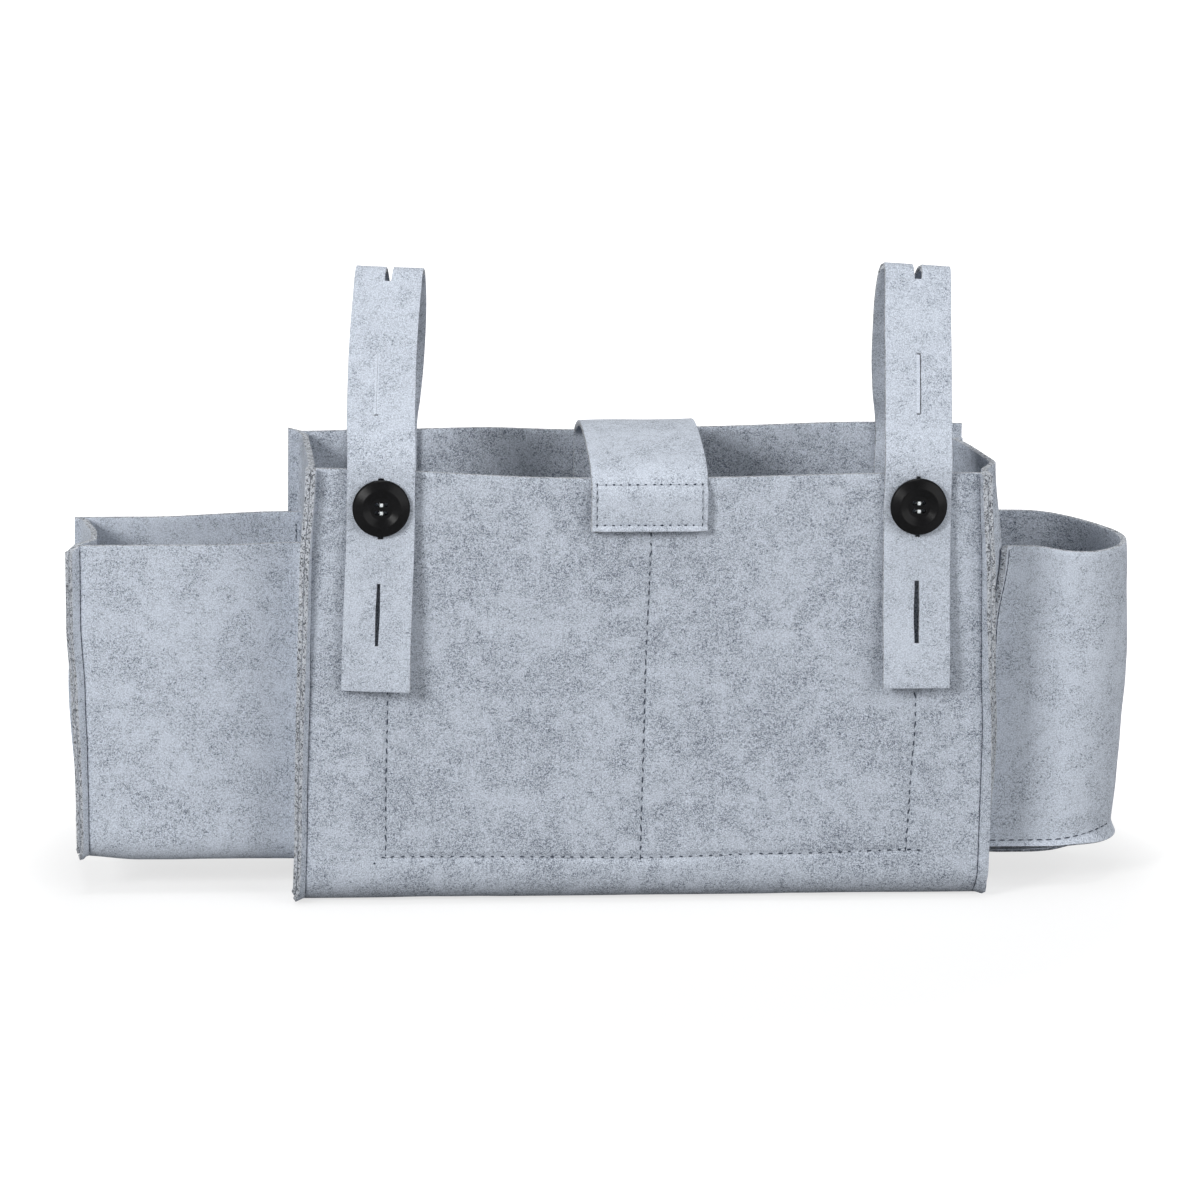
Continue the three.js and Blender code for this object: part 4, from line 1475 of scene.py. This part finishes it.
def stitch_and_shade_line(lay, distances, normal, share=1.12):
    """The dark line of a closing seam: dark pits end to end, partly sunk stitches and partly painted shade
    in the crease.
    """
    points = [lay(distance) for distance in distances]
    made = []
    for i, (a, b) in enumerate(zip(points, points[1:])):
        width = 0.65 + 0.25 * noise.noise(Vector((0.9 * i, a.z / 10, 0.4)))
        size = ((b - a).length * share, width, 0.7)
        made.append(placed(PIT_SHAPE, a.lerp(b, 0.5) + normal * 0.15, b - a, normal, size))
    return made


def closing_seams():
    """Seams that join the end walls to the folded sheets, as far as they show from the front; their dark
    lines are partly stitches and partly painted shade in the creases.
    """
    rows = []
    foot = RIM - BODY_FOLD + 14.0
    for side in (-1, 1):
        normal = Vector((0.25 * side, -1, 0))
        rows.append(stitch_and_shade_line(lambda v: lay_body(side * END, v), stations(2.0, foot, SEAM_STITCH), normal))
    foot = POCKET_TOP - POCKET_LOW - POCKET_FOLD + 10.0
    normal = Vector((-0.25, -1, 0))
    rows.append(stitch_and_shade_line(lambda v: lay_pocket(POCKET_REACH, v), stations(2.0, foot, SEAM_STITCH), normal))
    round_foot = stations(14.0, CUP.length - 30.0, SEAM_STITCH)[:16]
    rows.append(stitch_and_shade_line(lambda u: lay_cup(u, 1.0), round_foot, Vector((0, -1, 0.3)), 0.7))
    up_edge = stations(4.0, 149.0, SEAM_STITCH)
    rows.append(stitch_and_shade_line(lambda v: lay_cup(6.3, v), up_edge, Vector((0.6, -1, 0))))
    heights = stations(30.0, POCKET_TOP - 3.0, 8.0)
    points = [Vector((-END - 3.2, POCKET_BACK - FELT + 0.1, z)) for z in heights]
    rows.append(stitch_row(points, Vector((0, -1, 0)), EDGE_STITCH, dash=(1.7, 0.6), thread=0.4))
    stitching("stitches_and_shade_seams", rows, "caddy")


def tab_normal(up):
    """The way that the tab's outer face looks near its free end."""
    normal = outward(TAB.around(TAB.length + TAB_LOW - up, 1.5)[1])
    return Vector((0, normal.x, normal.y))


def on_tab(u, up):
    """A point of the tab's outer face near its free end."""
    return lay_tab(u, TAB.length + TAB_LOW - up) + tab_normal(up) * FELT / 2


def tab_stitching():
    """The rectangle of stitches that holds the hook patch."""
    x, low, top = TAB_ROWS_X, TAB_ROW_LOW, TAB_ROW_TOP
    corners = [(-x, low), (x, low), (x, top), (-x, top), (-x, low)]
    rows = []
    for (x0, z0), (x1, z1) in zip(corners, corners[1:]):
        points = [on_tab(mixed(x0, x1, t), mixed(z0, z1, t)) for t in evenly(0.0, 1.0, 30)]
        dash = (2.8, 0.45) if x0 == x1 else (1.3, 0.75)
        rows.append(stitch_row(points, tab_normal((z0 + z1) / 2), TAB_STITCH, dash, thread=0.55))
    stitching("stitches_tab", rows, "tab")


# Stage


def in_view(look):
    """1 for rays from the camera, a reflection or glass, and 0 for the light that falls on the felt."""
    seen = look.node("ShaderNodeLightPath", output="Is Camera Ray")
    for kind in ("Is Glossy Ray", "Is Transmission Ray"):
        seen = seen.reckon("MAXIMUM", seen, look.node("ShaderNodeLightPath", output=kind))
    return seen


def floor():
    """A floor that is white where it is seen, and a little darker round the caddy's foot."""
    fresh()
    bpy.ops.mesh.primitive_plane_add(size=14.0, location=(0, 2.0, -0.0005))
    piece = bpy.context.object
    piece.name = "floor"
    bpy.ops.object.transform_apply(location=True)
    look = Finish("pale_floor")
    ends = {0: look.here(), 1: SHADOW_MIDDLE}
    away = look.node("ShaderNodeVectorMath", {"operation": "DISTANCE"}, ends, "Value")
    look.set(Base_Color=FLOOR_GREY, Roughness=1.0, Specular_IOR_Level=0.0)
    shown = FLOOR_SHADED + FLOOR_RISE * away.rise(*SHADOW_REACH)
    look.set(Emission_Color=in_view(look) * shown, Emission_Strength=1.0)
    wear(piece, look.material)


def world():
    """Dim cool light from all round, and plain white where the background is seen."""
    studio = bpy.data.worlds.new("studio")
    bpy.context.scene.world = studio
    look = Finish("studio", studio)
    look.set(Color=ROOM_TINT, Strength=ROOM_LIGHT)
    room = Wire(look, look.shader.outputs["Background"])
    white = look.node("ShaderNodeBackground", {}, {"Color": (1.0, 1.0, 1.0, 1.0), "Strength": 1.0})
    choice = look.node("ShaderNodeMixShader", {}, {0: in_view(look), 1: room, 2: white})
    look.plug(look.tree.nodes["World Output"].inputs["Surface"], choice)


def lamp(name, place, size, power):
    """A soft box that faces the caddy."""
    data = bpy.data.lights.new(name, "AREA")
    data.energy = power
    data.shape = "RECTANGLE"
    data.size, data.size_y = size
    item = bpy.data.objects.new(name, data)
    bpy.context.collection.objects.link(item)
    item.location = place
    item.rotation_euler = (LAMP_AIM - item.location).to_track_quat("-Z", "Y").to_euler()


def camera():
    """The camera that took the photo, as a fit to the caddy's corners gives it."""
    sin_a, cos_a = math.sin(AZIMUTH), math.cos(AZIMUTH)
    sin_e, cos_e = math.sin(ELEVATION), math.cos(ELEVATION)
    behind = Vector((sin_a * cos_e, -cos_a * cos_e, sin_e))
    right = Vector((cos_a, sin_a, 0.0))
    up = behind.cross(right)
    right, up = (
        right * math.cos(ROLL) + up * math.sin(ROLL),
        up * math.cos(ROLL) - right * math.sin(ROLL),
    )
    data = bpy.data.cameras.new("camera")
    data.sensor_width = SENSOR
    data.lens = FOCAL_PIXELS / IMAGE * SENSOR
    data.clip_end = 50.0
    item = bpy.data.objects.new("camera", data)
    bpy.context.collection.objects.link(item)
    turn = Matrix((right, up, behind)).transposed().to_4x4()
    item.matrix_world = Matrix.Translation((TARGET + behind * DISTANCE) * MM) @ turn
    bpy.context.scene.camera = item


def main():
    camera()
    floor()
    world()
    for name, (place, size, power) in LAMPS.items():
        lamp(name, place, size, power)
    bpy.context.scene.view_settings.view_transform = "Standard"
    body_wrap()
    body_end(-1, "felt_end_left", "body_gusset_left", (100, 900))
    body_end(1, "felt_end_right", "body_gusset_right", (600, 1300))
    inner_pocket()
    left_pocket()
    cup_wall()
    cup_floor()
    strap("left", (2900, 300), 1.3)
    strap("right", (3000, 1200), 4.9)
    closing_tab()
    patch("hook_patch", "tab_hook_patch", "tab", HOOK_FACE, HOOK_LOOK, (3600, 0))
    patch("loop_patch", "front_loop_patch", "caddy", LOOP_FACE, LOOP_LOOK, (3800, 0))
    for hand in STRAPS:
        button(hand)
        button_thread(hand)
    front_stitching()
    closing_seams()
    tab_stitching()
    for shape in (STITCH_SHAPE, PIT_SHAPE):
        bpy.data.objects.remove(shape)


main()
